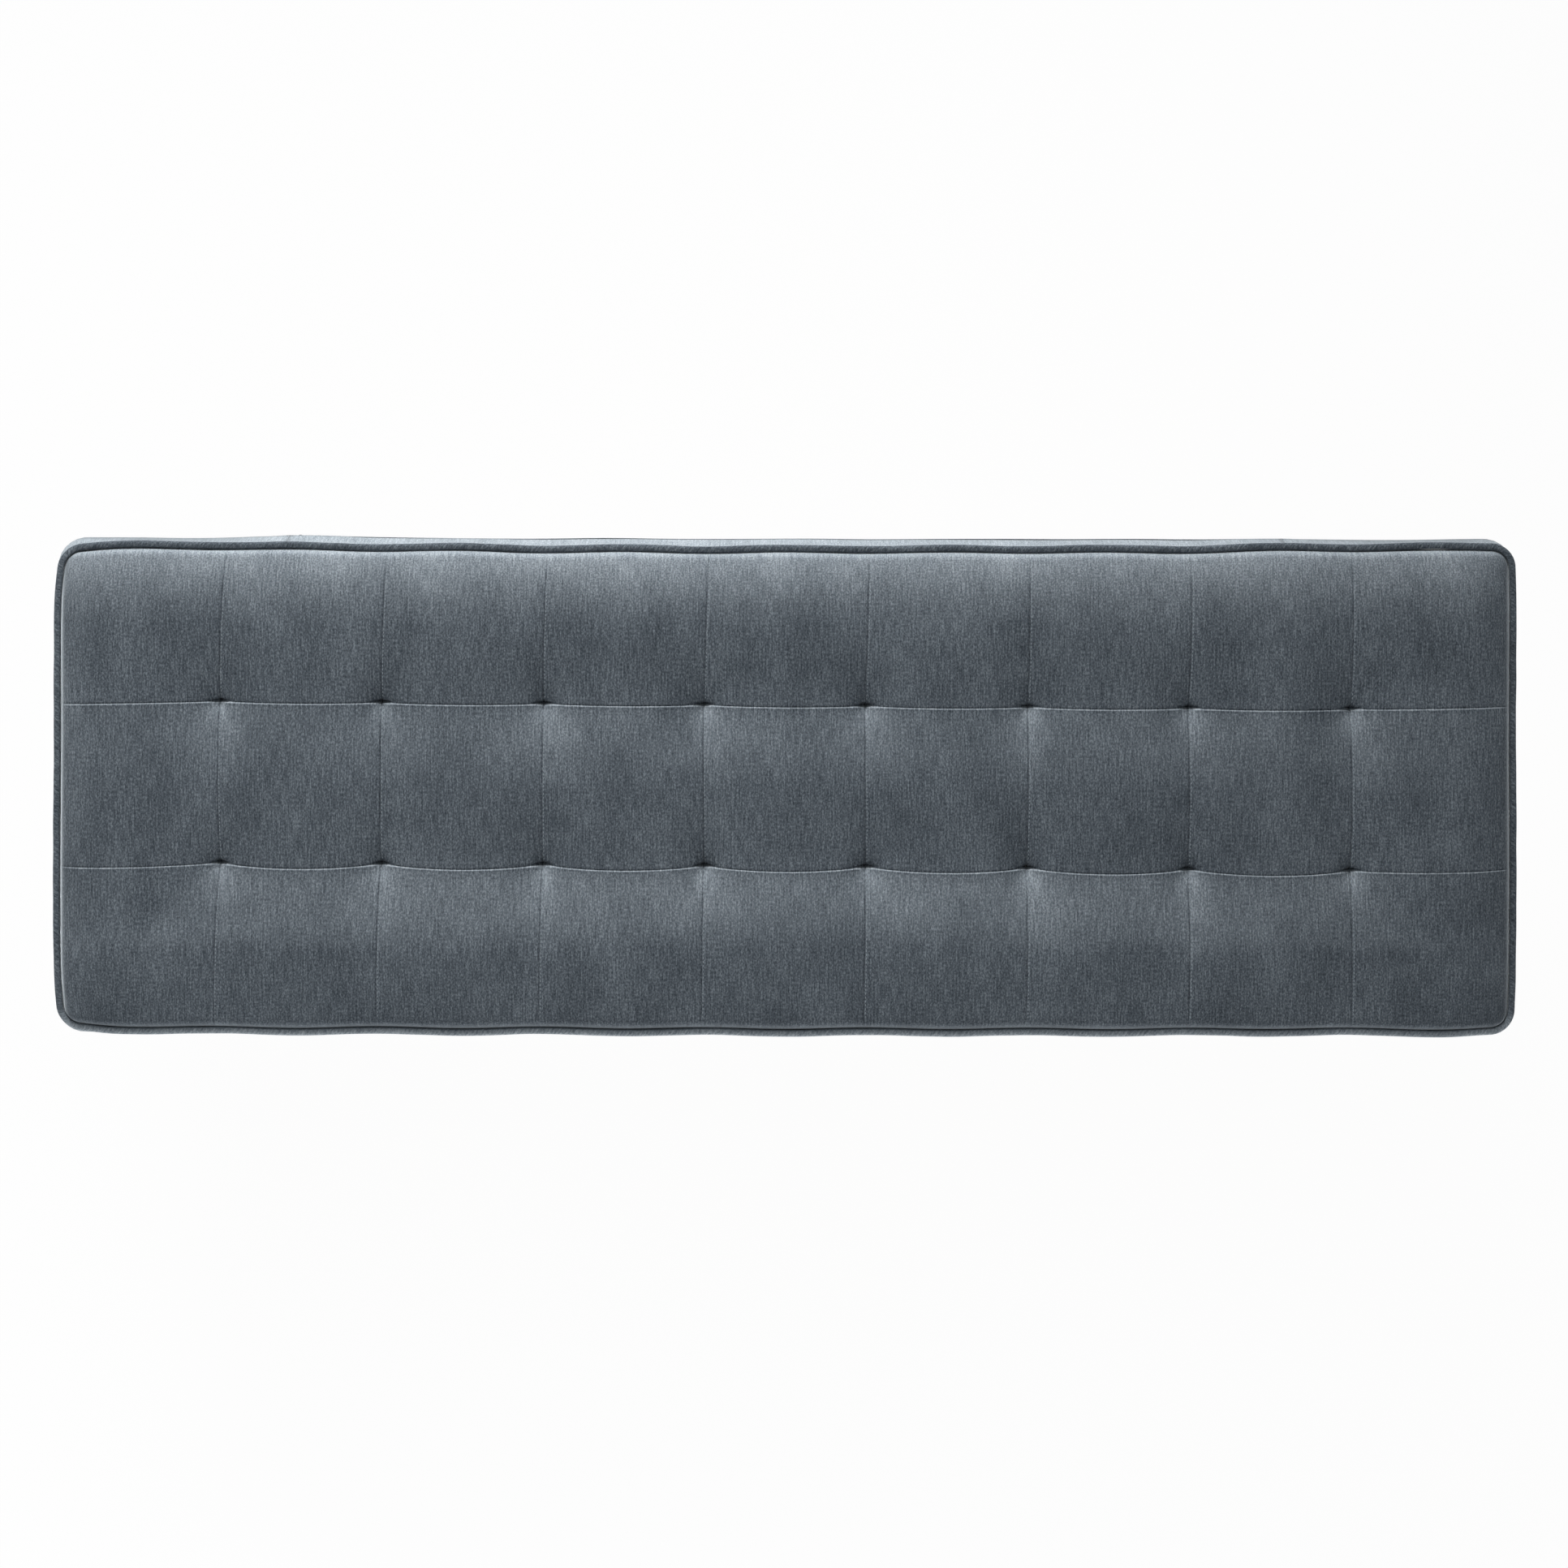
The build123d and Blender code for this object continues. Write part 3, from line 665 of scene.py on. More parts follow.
top_bm = sheet_mesh(
    (COLUMNS * FINE_STEPS, ROWS * FINE_STEPS),
    lambda a, b: top_surface(crowd(a * COLUMNS), crowd(b * ROWS)),
    lambda a, b: top_cloth(crowd(a * COLUMNS), crowd(b * ROWS)),
)
rim_edges = [e for e in top_bm.edges if e.is_boundary]
skirt = bmesh.ops.extrude_edge_only(top_bm, edges=rim_edges)["geom"]
skirt_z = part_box("biscuit_fill")[0].z
for vert in (g for g in skirt if isinstance(g, bmesh.types.BMVert)):
    vert.co.z = skirt_z
bmesh.ops.edgeloop_fill(top_bm, edges=[g for g in skirt if isinstance(g, bmesh.types.BMEdge)])
bmesh.ops.recalc_face_normals(top_bm, faces=top_bm.faces)
top_nodes = ("top_panel_row_1", "top_panel_row_2", "top_panel_row_3", "biscuit_fill")
cushion_top = cushion_piece("cushion_top", top_bm, panel_velvet, "slate_velvet", *top_nodes)
print("crown at", round(max(v.co.z for v in cushion_top.data.vertices) / MM, 1), "mm")

# %% [markdown]
# ## Stitches in the seams
# Along the seams that follow the nap, short stitches of a paler thread show. One small rounded shape is
# made for each stitch and laid on the finished surface, turned along its seam.

# %% Seam stitches
STITCH_LONG = 3.2 * MM
STITCH_PITCH = 5.0 * MM
STITCHES_HIDDEN = 3  # at each end of a seam, down in the groove beside the piping
STITCH_ASIDE = 1.7 * MM  # the row of stitches lies on the seam's right
THREAD_HALF = 0.5 * MM
THREAD_FLAT = 0.7  # a stitch is pressed to this share of its width
THREAD_RISE = 0.2 * MM
THREAD_TWIST_MM = 1.5


def spun_thread(add):
    """Spun polyester thread: twisted filament, a little shinier than the pile round it."""
    spot = add("TexCoord").outputs["Object"]
    twist = add("TexNoise", {"Vector": spot, "Scale": 1 / (THREAD_TWIST_MM * MM)}).outputs["Fac"]
    return {"Base Color": three_tones(add, twist, "#6a737a", "#8e979e", "#a9b2b8"), "Roughness": 0.6}


def add_to(whole, bm):
    """Moves a small bmesh into a large one, which is quicker than growing the large one shape by shape."""
    mesh = bpy.data.meshes.new("part")
    bm.to_mesh(mesh)
    bm.free()
    whole.from_mesh(mesh)
    bpy.data.meshes.remove(mesh)


stitches = bmesh.new()
stitch_count = round(2 * PANEL_Y / STITCH_PITCH)
stitch_shape = Matrix.Diagonal((STITCH_LONG / 2, THREAD_HALF, THREAD_FLAT * THREAD_HALF, 1.0))
for column in range(1, COLUMNS):
    seam_bm = bmesh.new()
    u = column + STITCH_ASIDE / CELL_X
    for number in range(STITCHES_HIDDEN, stitch_count - STITCHES_HIDDEN):
        v = ROWS * number / stitch_count
        start = Vector(top_surface(u, v))
        stop = Vector(top_surface(u, v + ROWS * STITCH_LONG / (2 * PANEL_Y)))
        turn = (stop - start).to_track_quat("X", "Z").to_matrix().to_4x4()
        place = Matrix.Translation((start + stop) / 2 + Vector((0, 0, THREAD_RISE))) @ turn @ stitch_shape
        bmesh.ops.create_uvsphere(seam_bm, u_segments=6, v_segments=4, radius=1.0, matrix=place)
    add_to(stitches, seam_bm)
thread = make_material("spun polyester thread", spun_thread)
cushion_piece("seam_stitches", stitches, thread, "slate_velvet")

# %% [markdown]
# ## Piping
# A cotton cord in a bias strip of the same velvet runs round both edges of the cushion. It is a tube, so a
# grid is rolled round the plan and welded along its two joins. Sewn piping is never dead straight, and a
# low noise makes it wander by less than a millimetre.

# %% Piping tubes
PIPING_GRID = (960, 20)  # steps along, sides round
PIPING_WANDER = 0.5 * MM
WANDER_LENGTH = 50.0 * MM
WANDER_ROW = 40.0  # puts the two pipings in different rows of the noise
PIPING_ROUND = 0.85  # 1 is a round section, less has a flatter top and sides
PIPING_FULL = 0.40  # the same where the tube is pressed against the panel


def piping_tube(name, node, material, slot, diameter, grid):
    """A tube along the plan in the place of a CAD node, with its two joins welded."""
    low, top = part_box(node)
    centre_z = (low.z + top.z) / 2
    upper = centre_z > BORDER_MID

    def place(a, b):
        x, y, nx, ny = plan_point(a * PERIMETER, PIPING_D / 2)
        right, back = top_shift(x, y) if upper else (0.0, 0.0)
        wave = PIPING_WANDER * noise.noise((x / WANDER_LENGTH, y / WANDER_LENGTH, centre_z * WANDER_ROW))
        across, up = math.cos(2 * math.pi * b), math.sin(2 * math.pi * b)
        pressed = across < 0 and (up > 0 if upper else up < 0)
        power = PIPING_FULL if pressed else PIPING_ROUND
        out = wave + diameter / 2 * math.copysign(abs(across) ** power, across)
        high = wave + diameter / 2 * math.copysign(abs(up) ** power, up)
        return x + right + nx * out, y + back + ny * out, centre_z + high

    bm = sheet_mesh(grid, place, flat(PERIMETER, math.pi * diameter), weld=True)
    cushion_piece(name, bm, material, slot, node)


for edge in ("top", "bottom"):
    piping_tube(f"piping_{edge}", f"{edge}_piping", bias_velvet, "slate_velvet", PIPING_D, PIPING_GRID)

# %% [markdown]
# ## Side border
# A band of velvet joins the two pipings and swells a little over the foam. It is made of five lengths: the
# front with its corners, the two ends, and an upper and a lower strip that leave the zip between them. Each
# is a grid along the plan with the band's bulge, given the cloth's thickness by the solidify operator.

# %% Lengths of the border
strip_low, strip_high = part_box("border_back_upper")
ZIP_CLEAR = 0.8 * MM  # between a strip's folded edge and the slider
STRIP_Z0, STRIP_Z1 = strip_low.z + ZIP_CLEAR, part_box("border_back_lower")[1].z - ZIP_CLEAR
ZIP_END = strip_high.x
WRAP_Y = front_high.y  # the front length ends here on both ends of the cushion
RIGHT_WRAP = RUN_X + TURN + (WRAP_Y + HALF_Y - CORNER_R)
BACK_START = RUN_X + 2 * TURN + RUN_Y
ZIP_FROM = BACK_START + RUN_X / 2 - ZIP_END
ZIP_TO = BACK_START + RUN_X / 2 + ZIP_END
LEFT_WRAP = BACK_START + RUN_X + TURN + (HALF_Y - CORNER_R - WRAP_Y)
# each length: where it starts and stops along the plan, its two heights, and the node that it replaces
LENGTHS = {
    "border_band_front": (LEFT_WRAP, PERIMETER + RIGHT_WRAP, BORDER_Z0, BORDER_Z1, "border_front"),
    "border_band_right": (RIGHT_WRAP, ZIP_FROM, BORDER_Z0, BORDER_Z1, "border_right"),
    "border_band_left": (ZIP_TO, LEFT_WRAP, BORDER_Z0, BORDER_Z1, "border_left"),
    "zip_strip_upper": (ZIP_FROM, ZIP_TO, STRIP_Z0, BORDER_Z1, "border_back_upper"),
    "zip_strip_lower": (ZIP_FROM, ZIP_TO, BORDER_Z0, STRIP_Z1, "border_back_lower"),
}
print("zip opening: %.1f mm high" % ((STRIP_Z0 - STRIP_Z1) / MM))

# %% Lip along the zip
ZIP_LIP = 6.0 * MM  # the strips stand proud along the zip, most of all where they cover its pull
LIP_SHARE = 0.5  # of that, away from the pull
LIP_FLAT = 8.0 * MM
LIP_FADE = 36.0 * MM
LIP_RUN = 180.0 * MM
pull_low, pull_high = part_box("zip_pull")
PULL_X = (pull_low.x + pull_high.x) / 2
PULL_REACH = 70.0 * MM
NOTCH_WIDTH = 7.0 * MM  # a hollow past each end of the zip, where its pull can lie
NOTCH_LONG = 34.0 * MM


def zip_lip(x, z):
    """How far the border stands out along the zip."""
    along = LIP_SHARE + (1 - LIP_SHARE) * bump_shape(x - PULL_X, PULL_REACH)
    past = min(1.0, max(0.0, (abs(x) - ZIP_END) / LIP_RUN))
    away = min(1.0, max(0.0, (abs(z - BORDER_MID) - LIP_FLAT) / LIP_FADE))
    notch = bump_shape(z - BORDER_MID, NOTCH_WIDTH) * bump_shape(past * LIP_RUN, NOTCH_LONG)
    return ZIP_LIP * along * (1 - notch) * ((1 - past) * (1 - away)) ** 2


print("lip over the pull: %.1f mm" % (zip_lip(PULL_X, STRIP_Z0) / MM))

# %% Border bands
CLOTH_T = 2.0 * MM
BAND_STEP = 8.0 * MM  # size of a quad along the band, and across it
BAND_ROW = 5.0 * MM
SOFTNESS = 1.1 * MM  # low waves of the cloth
SLACK = 0.35  # how far they fall inwards
SOFT_LENGTH, SOFT_HEIGHT = 120.0 * MM, 60.0 * MM


def thick_sheet(grid, place, cloth, thickness):
    """A sheet with the thickness of its cloth."""
    bm = sheet_mesh(grid, place, cloth)
    bmesh.ops.solidify(bm, geom=bm.faces[:], thickness=thickness)
    return bm


def band(start, stop, z0, z1):
    """A length of border along the plan, between two heights, lifted a little along the zip."""

    def place(a, b):
        z = z0 + b * (z1 - z0)
        share = ((z - BORDER_MID) / (BORDER_Z1 - BORDER_MID)) ** 2
        x, y, nx, ny = plan_point(start + a * (stop - start), (SETBACK + BULGE) * share - BULGE)
        waves = noise.noise((x / SOFT_LENGTH, y / SOFT_LENGTH, z / SOFT_HEIGHT)) - SLACK
        out = (1 - share) * SOFTNESS * waves
        if y > 0:
            out += zip_lip(x, z)
        lean = ((z - BORDER_Z0) / (BORDER_Z1 - BORDER_Z0)) ** 2
        right, back = top_shift(x, y, share if z > BORDER_MID else 0.0, lean)
        return x + right + nx * out, y + back + ny * out, z

    def cloth(a, b):
        return start + a * (stop - start), z0 + b * (z1 - z0)

    grid = (round((stop - start) / BAND_STEP), round((z1 - z0) / BAND_ROW))
    return thick_sheet(grid, place, cloth, CLOTH_T)


for name, (*run, node) in LENGTHS.items():
    cushion_piece(name, band(*run), border_velvet, "slate_velvet", node)

# %% [markdown]
# ## Foam, piping cord and twine
# Inside the cover lies a block of upholstery foam with a rounded edge. A soft cotton cord fills each
# piping, and a twisted twine goes down from every tuft to a toggle under the foam. None of them shows until
# the cushion is taken apart, so they are simple shapes, set well inside the cover.

# %% Foam material and block
CELL_MM = 1.4
FOAM_PATCH_MM = 90.0
FOAM_PITS = 0.4 * MM
FOAM_INSET = 18.0 * MM
FOAM_ROUND = 20.0 * MM


def cut_foam(add):
    """Cream polyurethane foam, cut from a block: open cells give a dull, finely pitted face."""
    spot = add("TexCoord").outputs["Object"]
    cells = add("TexVoronoi", {"Vector": spot, "Scale": 1 / (CELL_MM * MM)}).outputs["Distance"]
    patch = add("TexNoise", {"Vector": spot, "Scale": 1 / (FOAM_PATCH_MM * MM)}).outputs["Fac"]
    share = weighted_sum(add, [(cells, 0.5), (patch, 0.5)])
    pits = add("Bump", {"Strength": 0.5, "Distance": FOAM_PITS, "Height": cells})
    colour = three_tones(add, share, "#c9b98f", "#e0d3ad", "#ece3c6")
    return {"Base Color": colour, "Normal": pits.outputs["Normal"], "Roughness": 0.95}


foam_low, foam_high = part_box("foam_core")
foam_size = (2 * (HALF_X - FOAM_INSET), 2 * (HALF_Y - FOAM_INSET), foam_high.z - foam_low.z)
foam_place = Matrix.Translation((0, 0, (foam_low.z + foam_high.z) / 2)) @ Matrix.Diagonal((*foam_size, 1.0))
foam_bm = bmesh.new()
bmesh.ops.create_cube(foam_bm, size=1.0, matrix=foam_place)
upright = [e for e in foam_bm.edges if e.verts[0].co.xy == e.verts[1].co.xy]
bmesh.ops.bevel(
    foam_bm, geom=upright, offset=FOAM_ROUND, affect="EDGES", segments=6, profile=0.5, material=-1
)
foam = make_material("cut polyurethane foam", cut_foam)
cushion_piece("foam_block", foam_bm, foam, "foam", "foam_core", smooth=False)
print("foam:", [round(s / MM) for s in foam_size], "mm")

# %% Cotton cord
CORD_D = 5.0 * MM
CORD_GRID = (480, 8)
WAVE_REPEAT = 2 * math.pi / 20  # a Wave texture of scale 1 repeats after this length
TWIST_MM = 2.4 * math.pi  # from one turn of the yarn's twist to the next


def cotton_yarn(add):
    """Undyed cotton yarn: matt, warm white, with the fine slant of its twist."""
    spot = add("TexCoord").outputs["Object"]
    inputs = {"Vector": spot, "Scale": WAVE_REPEAT / (TWIST_MM * MM), "Distortion": 2.0, "Detail": 2.0}
    twist = add("TexWave", inputs, bands_direction="DIAGONAL").outputs["Fac"]
    return {"Base Color": three_tones(add, twist, "#b9ad93", "#d8cfb8", "#e9e2d0"), "Roughness": 0.9}


cotton = make_material("twisted cotton yarn", cotton_yarn)
for edge in ("top", "bottom"):
    piping_tube(f"piping_cord_{edge}", f"{edge}_piping_cord", cotton, "cotton_cord", CORD_D, CORD_GRID)

# %% Twine
twine_low, twine_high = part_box("tufting_twine")
TWINE_STRAND = 1.0 * MM
TWINE_TURN = 9.0 * MM  # one turn of the two strands
TWINE_DIVE = 12.0 * MM  # it ends this far down, under the panel's slit
TWINE_LENGTH = twine_high.z - TWINE_DIVE - twine_low.z
STRAND_GRID = (44, 6)


def strand(x, y, start):
    """One strand of the twine, wound round the line at x, y."""

    def place(a, b):
        turn = start + 2 * math.pi * a * TWINE_LENGTH / TWINE_TURN
        across = 2 * math.pi * b
        ring = 0.5 * TWINE_STRAND * (1 + math.cos(across))
        up = a * TWINE_LENGTH + 0.5 * TWINE_STRAND * math.sin(across)
        return x + ring * math.cos(turn), y + ring * math.sin(turn), twine_low.z + up

    return sheet_mesh(STRAND_GRID, place, flat(1.0, 1.0))


twines = bmesh.new()
for column in range(1, COLUMNS):
    for y in (ROW_FRONT, ROW_BACK):
        for start in (0.0, math.pi):
            add_to(twines, strand(-PANEL_X + column * CELL_X, y, start))
cushion_piece("tuft_twine", twines, cotton, "cotton_cord", "tufting_twine")

# %% [markdown]
# ## Underside and zip
# A plain woven lining closes the underside. At the back, a coil zip between the two border strips lets the
# cover come off. The coil is a nylon wire bent into loops, so it is drawn as two rows of small rounded
# loops that lock into each other.

# %% Woven lining
lining_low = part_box("bottom_panel")[0]
LINING = {"yarn_mm": 1.1, "rough": 0.8, "tones": ("#1d1f22", "#2c2f33", "#41454a")}
SLUB_MM = 14.0
YARN_BUMP = 0.3 * MM
LINING_T = 1.4 * MM
LINING_RISE = 0.5 * MM
LINING_WAVE = 110.0 * MM
LINING_GRID = (150, 50)


def plain_weave(add, yarn_mm, rough, tones):
    """Plain weave: two crossing sets of yarns, each a row of small humps."""
    cloth = add("UVMap", uv_map="cloth").outputs["UV"]
    parts = []
    for direction in ("X", "Y"):
        inputs = {"Vector": cloth, "Scale": WAVE_REPEAT / (2 * yarn_mm * MM), "Distortion": 0.6}
        parts.append((add("TexWave", inputs, bands_direction=direction).outputs["Fac"], 0.3))
    inputs = {"Vector": cloth, "Scale": 1 / (SLUB_MM * MM), "Detail": 4.0}
    parts.append((add("TexNoise", inputs, noise_dimensions="2D").outputs["Fac"], 0.4))
    weave = weighted_sum(add, parts)
    humps = add("Bump", {"Strength": 0.6, "Distance": YARN_BUMP, "Height": weave})
    colour = three_tones(add, weave, *tones)
    return {"Base Color": colour, "Normal": humps.outputs["Normal"], "Roughness": rough}


def lining_point(a, b):
    """A point of the lining, which hangs a little unevenly."""
    x, y = (2 * a - 1) * PANEL_X, (2 * b - 1) * PANEL_Y
    pucker = LINING_RISE * (1 + noise.noise((x / LINING_WAVE, y / LINING_WAVE, 1.0)))
    return (*round_corner(x, y), lining_low.z + LINING_T + pucker)


charcoal = make_material("charcoal polyester lining", plain_weave, **LINING)
lining_bm = thick_sheet(LINING_GRID, lining_point, flat(2 * PANEL_X, 2 * PANEL_Y), LINING_T)
cushion_piece("lining", lining_bm, charcoal, "lining", "bottom_panel")

# %% Zip tape
tape_low, tape_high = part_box("zipper_tape")
TAPE_LENGTH, TAPE_WIDTH = tape_high.x - tape_low.x, tape_high.z - tape_low.z
TAPE_T = 0.7 * (tape_high.y - tape_low.y)  # thinner than its solid, for the ripple
TAPE_BEND = 3.5 * MM  # its long edges bend inwards, behind the strips
TAPE_RIPPLE = 0.1 * MM
RIPPLE_LENGTH, RIPPLE_HEIGHT = 40.0 * MM, 20.0 * MM
TAPE = {"yarn_mm": 0.7, "rough": 0.75, "tones": ("#23262a", "#34383d", "#4a4f55")}
TAPE_GRID = (220, 8)


def tape_point(a, b):
    """A point of the tape's outer face."""
    x, z = tape_low.x + a * TAPE_LENGTH, tape_low.z + b * TAPE_WIDTH
    ripple = TAPE_RIPPLE * (1 + noise.noise((x / RIPPLE_LENGTH, z / RIPPLE_HEIGHT, 5.0)))
    return x, tape_high.y - ripple - TAPE_BEND * (2 * b - 1) ** 2, z


tape = make_material("herringbone zip tape", plain_weave, **TAPE)
tape_bm = thick_sheet(TAPE_GRID, tape_point, flat(TAPE_LENGTH, TAPE_WIDTH), TAPE_T)
cushion_piece("zip_tape", tape_bm, tape, "zip_tape", "zipper_tape")

# %% Zip coil
coil_low, coil_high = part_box("zipper_coil")
coil_mid = (coil_low + coil_high) / 2
COIL_PITCH = 1.5 * MM
COIL_T, COIL_WIDTH = coil_high.y - coil_low.y, coil_high.z - coil_low.z
COIL_ASIDE = 0.16 * COIL_WIDTH  # each row of loops off the coil's middle
COIL_LOOP = (0.48 * COIL_PITCH, 0.49 * COIL_T, 0.33 * COIL_WIDTH)  # half a loop's size
COIL_SLANT = math.radians(9)
COIL_BATCH = 80  # loops that are made in one small bmesh
CLOUD_MM = 4.0
NYLON_SPREAD = 0.1  # its roughness varies by this either way
COIL_NYLON = {"rough": 0.4, "tones": ("#2a2e33", "#3c4248", "#525960")}


def nylon(add, rough, tones):
    """Moulded or drawn nylon: smooth, slightly waxy, with faint clouding."""
    spot = add("TexCoord").outputs["Object"]
    cloud = add("TexNoise", {"Vector": spot, "Scale": 1 / (CLOUD_MM * MM), "Detail": 4.0}).outputs["Fac"]
    spread = {"Value": cloud, "To Min": rough - NYLON_SPREAD, "To Max": rough + NYLON_SPREAD}
    matt = add("MapRange", spread).outputs[0]
    return {"Base Color": three_tones(add, cloud, *tones), "Roughness": matt, "IOR": 1.53}


coils = bmesh.new()
loops = round((coil_high.x - coil_low.x) / COIL_PITCH)
for first in range(0, loops, COIL_BATCH):
    batch = bmesh.new()
    for number in range(first, min(first + COIL_BATCH, loops)):
        side = 1 if number % 2 else -1
        x = coil_low.x + (number + 0.5) * COIL_PITCH
        place = Matrix.Translation((x, coil_mid.y, coil_mid.z + side * COIL_ASIDE))
        turn = Matrix.Rotation(side * COIL_SLANT, 4, "Y")
        loop = place @ turn @ Matrix.Diagonal((*COIL_LOOP, 1.0))
        bmesh.ops.create_uvsphere(batch, u_segments=6, v_segments=5, radius=1.0, matrix=loop)
    add_to(coils, batch)
coil_nylon = make_material("drawn nylon zip coil", nylon, **COIL_NYLON)
cushion_piece("zip_coil", coils, coil_nylon, "zip_coil", "zipper_coil")
print("coil:", loops, "loops")

# %% [markdown]
# ## Wood
# The rails and legs are walnut with an oiled satin finish; the slats, ledgers and crossbars that nobody
# sees are plain beech. Wood is a bundle of fibres along one axis, so every pattern is stretched that way:
# broad bands of growth, the fine lines of their edges, and short dark pores.

# %% Wood material
GROWTH_STRETCH = 22  # a growth band is this much longer than wide
GROWTH_LINES = 42.0  # how often the growth's noise is cut into lines, in radians
PORE_MM = (0.9, 16.0)  # across and along the fibres
FIBRE_MM = (2.2, 90.0)
PORE_BUMP = 0.15 * MM
GROWTH_SHARE, LINE_SHARE, FIBRE_SHARE, PORE_SHARE = 0.55, 0.07, 0.30, 0.22
WOOD_RANGE = (0.34, 0.74)  # the part of their sum that goes from the dark tone to the light one
WOOD_SPREAD = 0.08  # its roughness varies by this either way
WALNUT = {"band_mm": 16.0, "rough": 0.42, "tones": ("#3a2416", "#6b4428", "#93643d")}
BEECH = {"band_mm": 20.0, "rough": 0.55, "tones": ("#b48a5e", "#cfa878", "#e0c096")}


def wood(add, grain, band_mm, rough, tones):
    """Planed and oiled timber whose fibres run along the grain axis, 0, 1 or 2."""
    spot = add("TexCoord").outputs["Object"]

    def stretched(across_mm, along_mm, detail, distortion):
        scale = [1 / (across_mm * MM)] * 3
        scale[grain] = 1 / (along_mm * MM)
        mapped = add("Mapping", {"Vector": spot, "Scale": scale}).outputs[0]
        inputs = {"Vector": mapped, "Scale": 1.0, "Roughness": 0.55}
        return add("TexNoise", {**inputs, "Detail": detail, "Distortion": distortion}).outputs["Fac"]

    growth = stretched(band_mm, GROWTH_STRETCH * band_mm, 3.0, 0.4)
    angle = add("Math", {0: growth, 1: GROWTH_LINES}, operation="MULTIPLY").outputs[0]
    lines = add("Math", {0: angle}, operation="SINE").outputs[0]
    pores = stretched(*PORE_MM, 2.0, 0.0)
    fibre = stretched(*FIBRE_MM, 3.0, 0.0)
    parts = [(growth, GROWTH_SHARE), (lines, LINE_SHARE), (fibre, FIBRE_SHARE), (pores, PORE_SHARE)]
    share = weighted_sum(add, parts)
    tone = add("MapRange", {"Value": share, "From Min": WOOD_RANGE[0], "From Max": WOOD_RANGE[1]})
    satin = add("MapRange", {"Value": fibre, "To Min": rough + WOOD_SPREAD, "To Max": rough - WOOD_SPREAD})
    grooves = add("Bump", {"Strength": 0.25, "Distance": PORE_BUMP, "Height": pores})
    return {
        "Base Color": three_tones(add, tone.outputs[0], *tones),
        "Roughness": satin.outputs[0],
        "Normal": grooves.outputs["Normal"],
    }


walnut = [make_material(f"oiled walnut along {a}", wood, grain=i, **WALNUT) for i, a in enumerate("xyz")]
beech = [make_material(f"planed beech along {a}", wood, grain=i, **BEECH) for i, a in enumerate("xy")]
print("wood:", [material.name for material in walnut + beech])

# %% Wooden pieces


def dress(material, *names):
    """Gives CAD nodes their finish."""
    for name in names:
        slots = nodes[name].data.materials
        slots.clear()
        slots.append(material)


legs = [name for name in nodes if name.startswith(("leg_front", "leg_back"))]
slats = [name for name in nodes if name.startswith("slat_") and name != "slat_screws"]
dress(walnut[0], "front_rail", "back_rail")
dress(walnut[1], "left_rail", "right_rail")
dress(walnut[2], *legs)
dress(beech[1], *slats, "leg_crossbar_left", "leg_crossbar_right", "corner_dowels")
dress(beech[0], "front_ledger", "back_ledger")
print("wood on", len(legs), "legs,", len(slats), "slats, rails, ledgers and crossbars")

# %% [markdown]
# ## Metal and plastic fittings
# The plates, screws, bolts and levelling stems are zinc-plated steel, which has small crystals that catch
# the light unevenly. The zip slider is a dark nickel casting. The feet and the toggles are moulded plastic.

# %% Fittings
PLATING_CLOUD_MM = 9.0
PLATING_SPREAD = 0.12  # its roughness varies by this either way
ZINC = {"crystal_mm": 3.0, "rough": 0.38, "tones": ("#8d8f90", "#aeb1b3", "#c9cccd")}
NICKEL = {"crystal_mm": 1.5, "rough": 0.32, "tones": ("#4a4c4f", "#66696c", "#85888b")}
BLACK_NYLON = {"rough": 0.5, "tones": ("#141416", "#1e1f21", "#2b2c2f")}
IVORY_PLASTIC = {"rough": 0.45, "tones": ("#c9c2b0", "#ddd7c8", "#ebe6da")}


def plated_steel(add, crystal_mm, rough, tones):
    """Steel with a thin metal plating: bright, a little cloudy, with soft crystal facets."""
    spot = add("TexCoord").outputs["Object"]
    crystal = add("TexVoronoi", {"Vector": spot, "Scale": 1 / (crystal_mm * MM)}).outputs["Color"]
    inputs = {"Vector": spot, "Scale": 1 / (PLATING_CLOUD_MM * MM), "Detail": 4.0}
    cloud = add("TexNoise", inputs).outputs["Fac"]
    share = weighted_sum(add, [(crystal, 0.35), (cloud, 0.65)])
    spread = {"Value": share, "To Min": rough - PLATING_SPREAD, "To Max": rough + PLATING_SPREAD}
    matt = add("MapRange", spread).outputs[0]
    return {"Base Color": three_tones(add, share, *tones), "Roughness": matt, "Metallic": 1.0}


zinc = make_material("zinc-plated steel", plated_steel, **ZINC)
nickel = make_material("dark nickel casting", plated_steel, **NICKEL)
foot_nylon = make_material("moulded black nylon", nylon, **BLACK_NYLON)
toggle_plastic = make_material("moulded ivory plastic", nylon, **IVORY_PLASTIC)
pads = [name for name in nodes if name.startswith("leveller_pad")]
stems = [name for name in nodes if name.startswith("leveller_stem")]
screws = [name for name in nodes if name.endswith("_screws")]
dress(zinc, "leg_plates", "leg_hanger_bolts", "leveller_inserts", *stems, *screws)
dress(nickel, "zip_slider", "zip_pull")
dress(foot_nylon, *pads)
dress(toggle_plastic, "tuft_toggles")
print("fittings:", len(pads), "feet,", len(screws), "groups of screws")

# %% [markdown]
# ## Studio
# The object is shown from straight above, a little behind its middle, on white. A low wide lamp at the back
# rakes across the nap, a softer one in front fills the shadows, and the sky is brightest low down, as in a
# room with lit walls. The floor looks white to the camera and still takes a soft shadow.

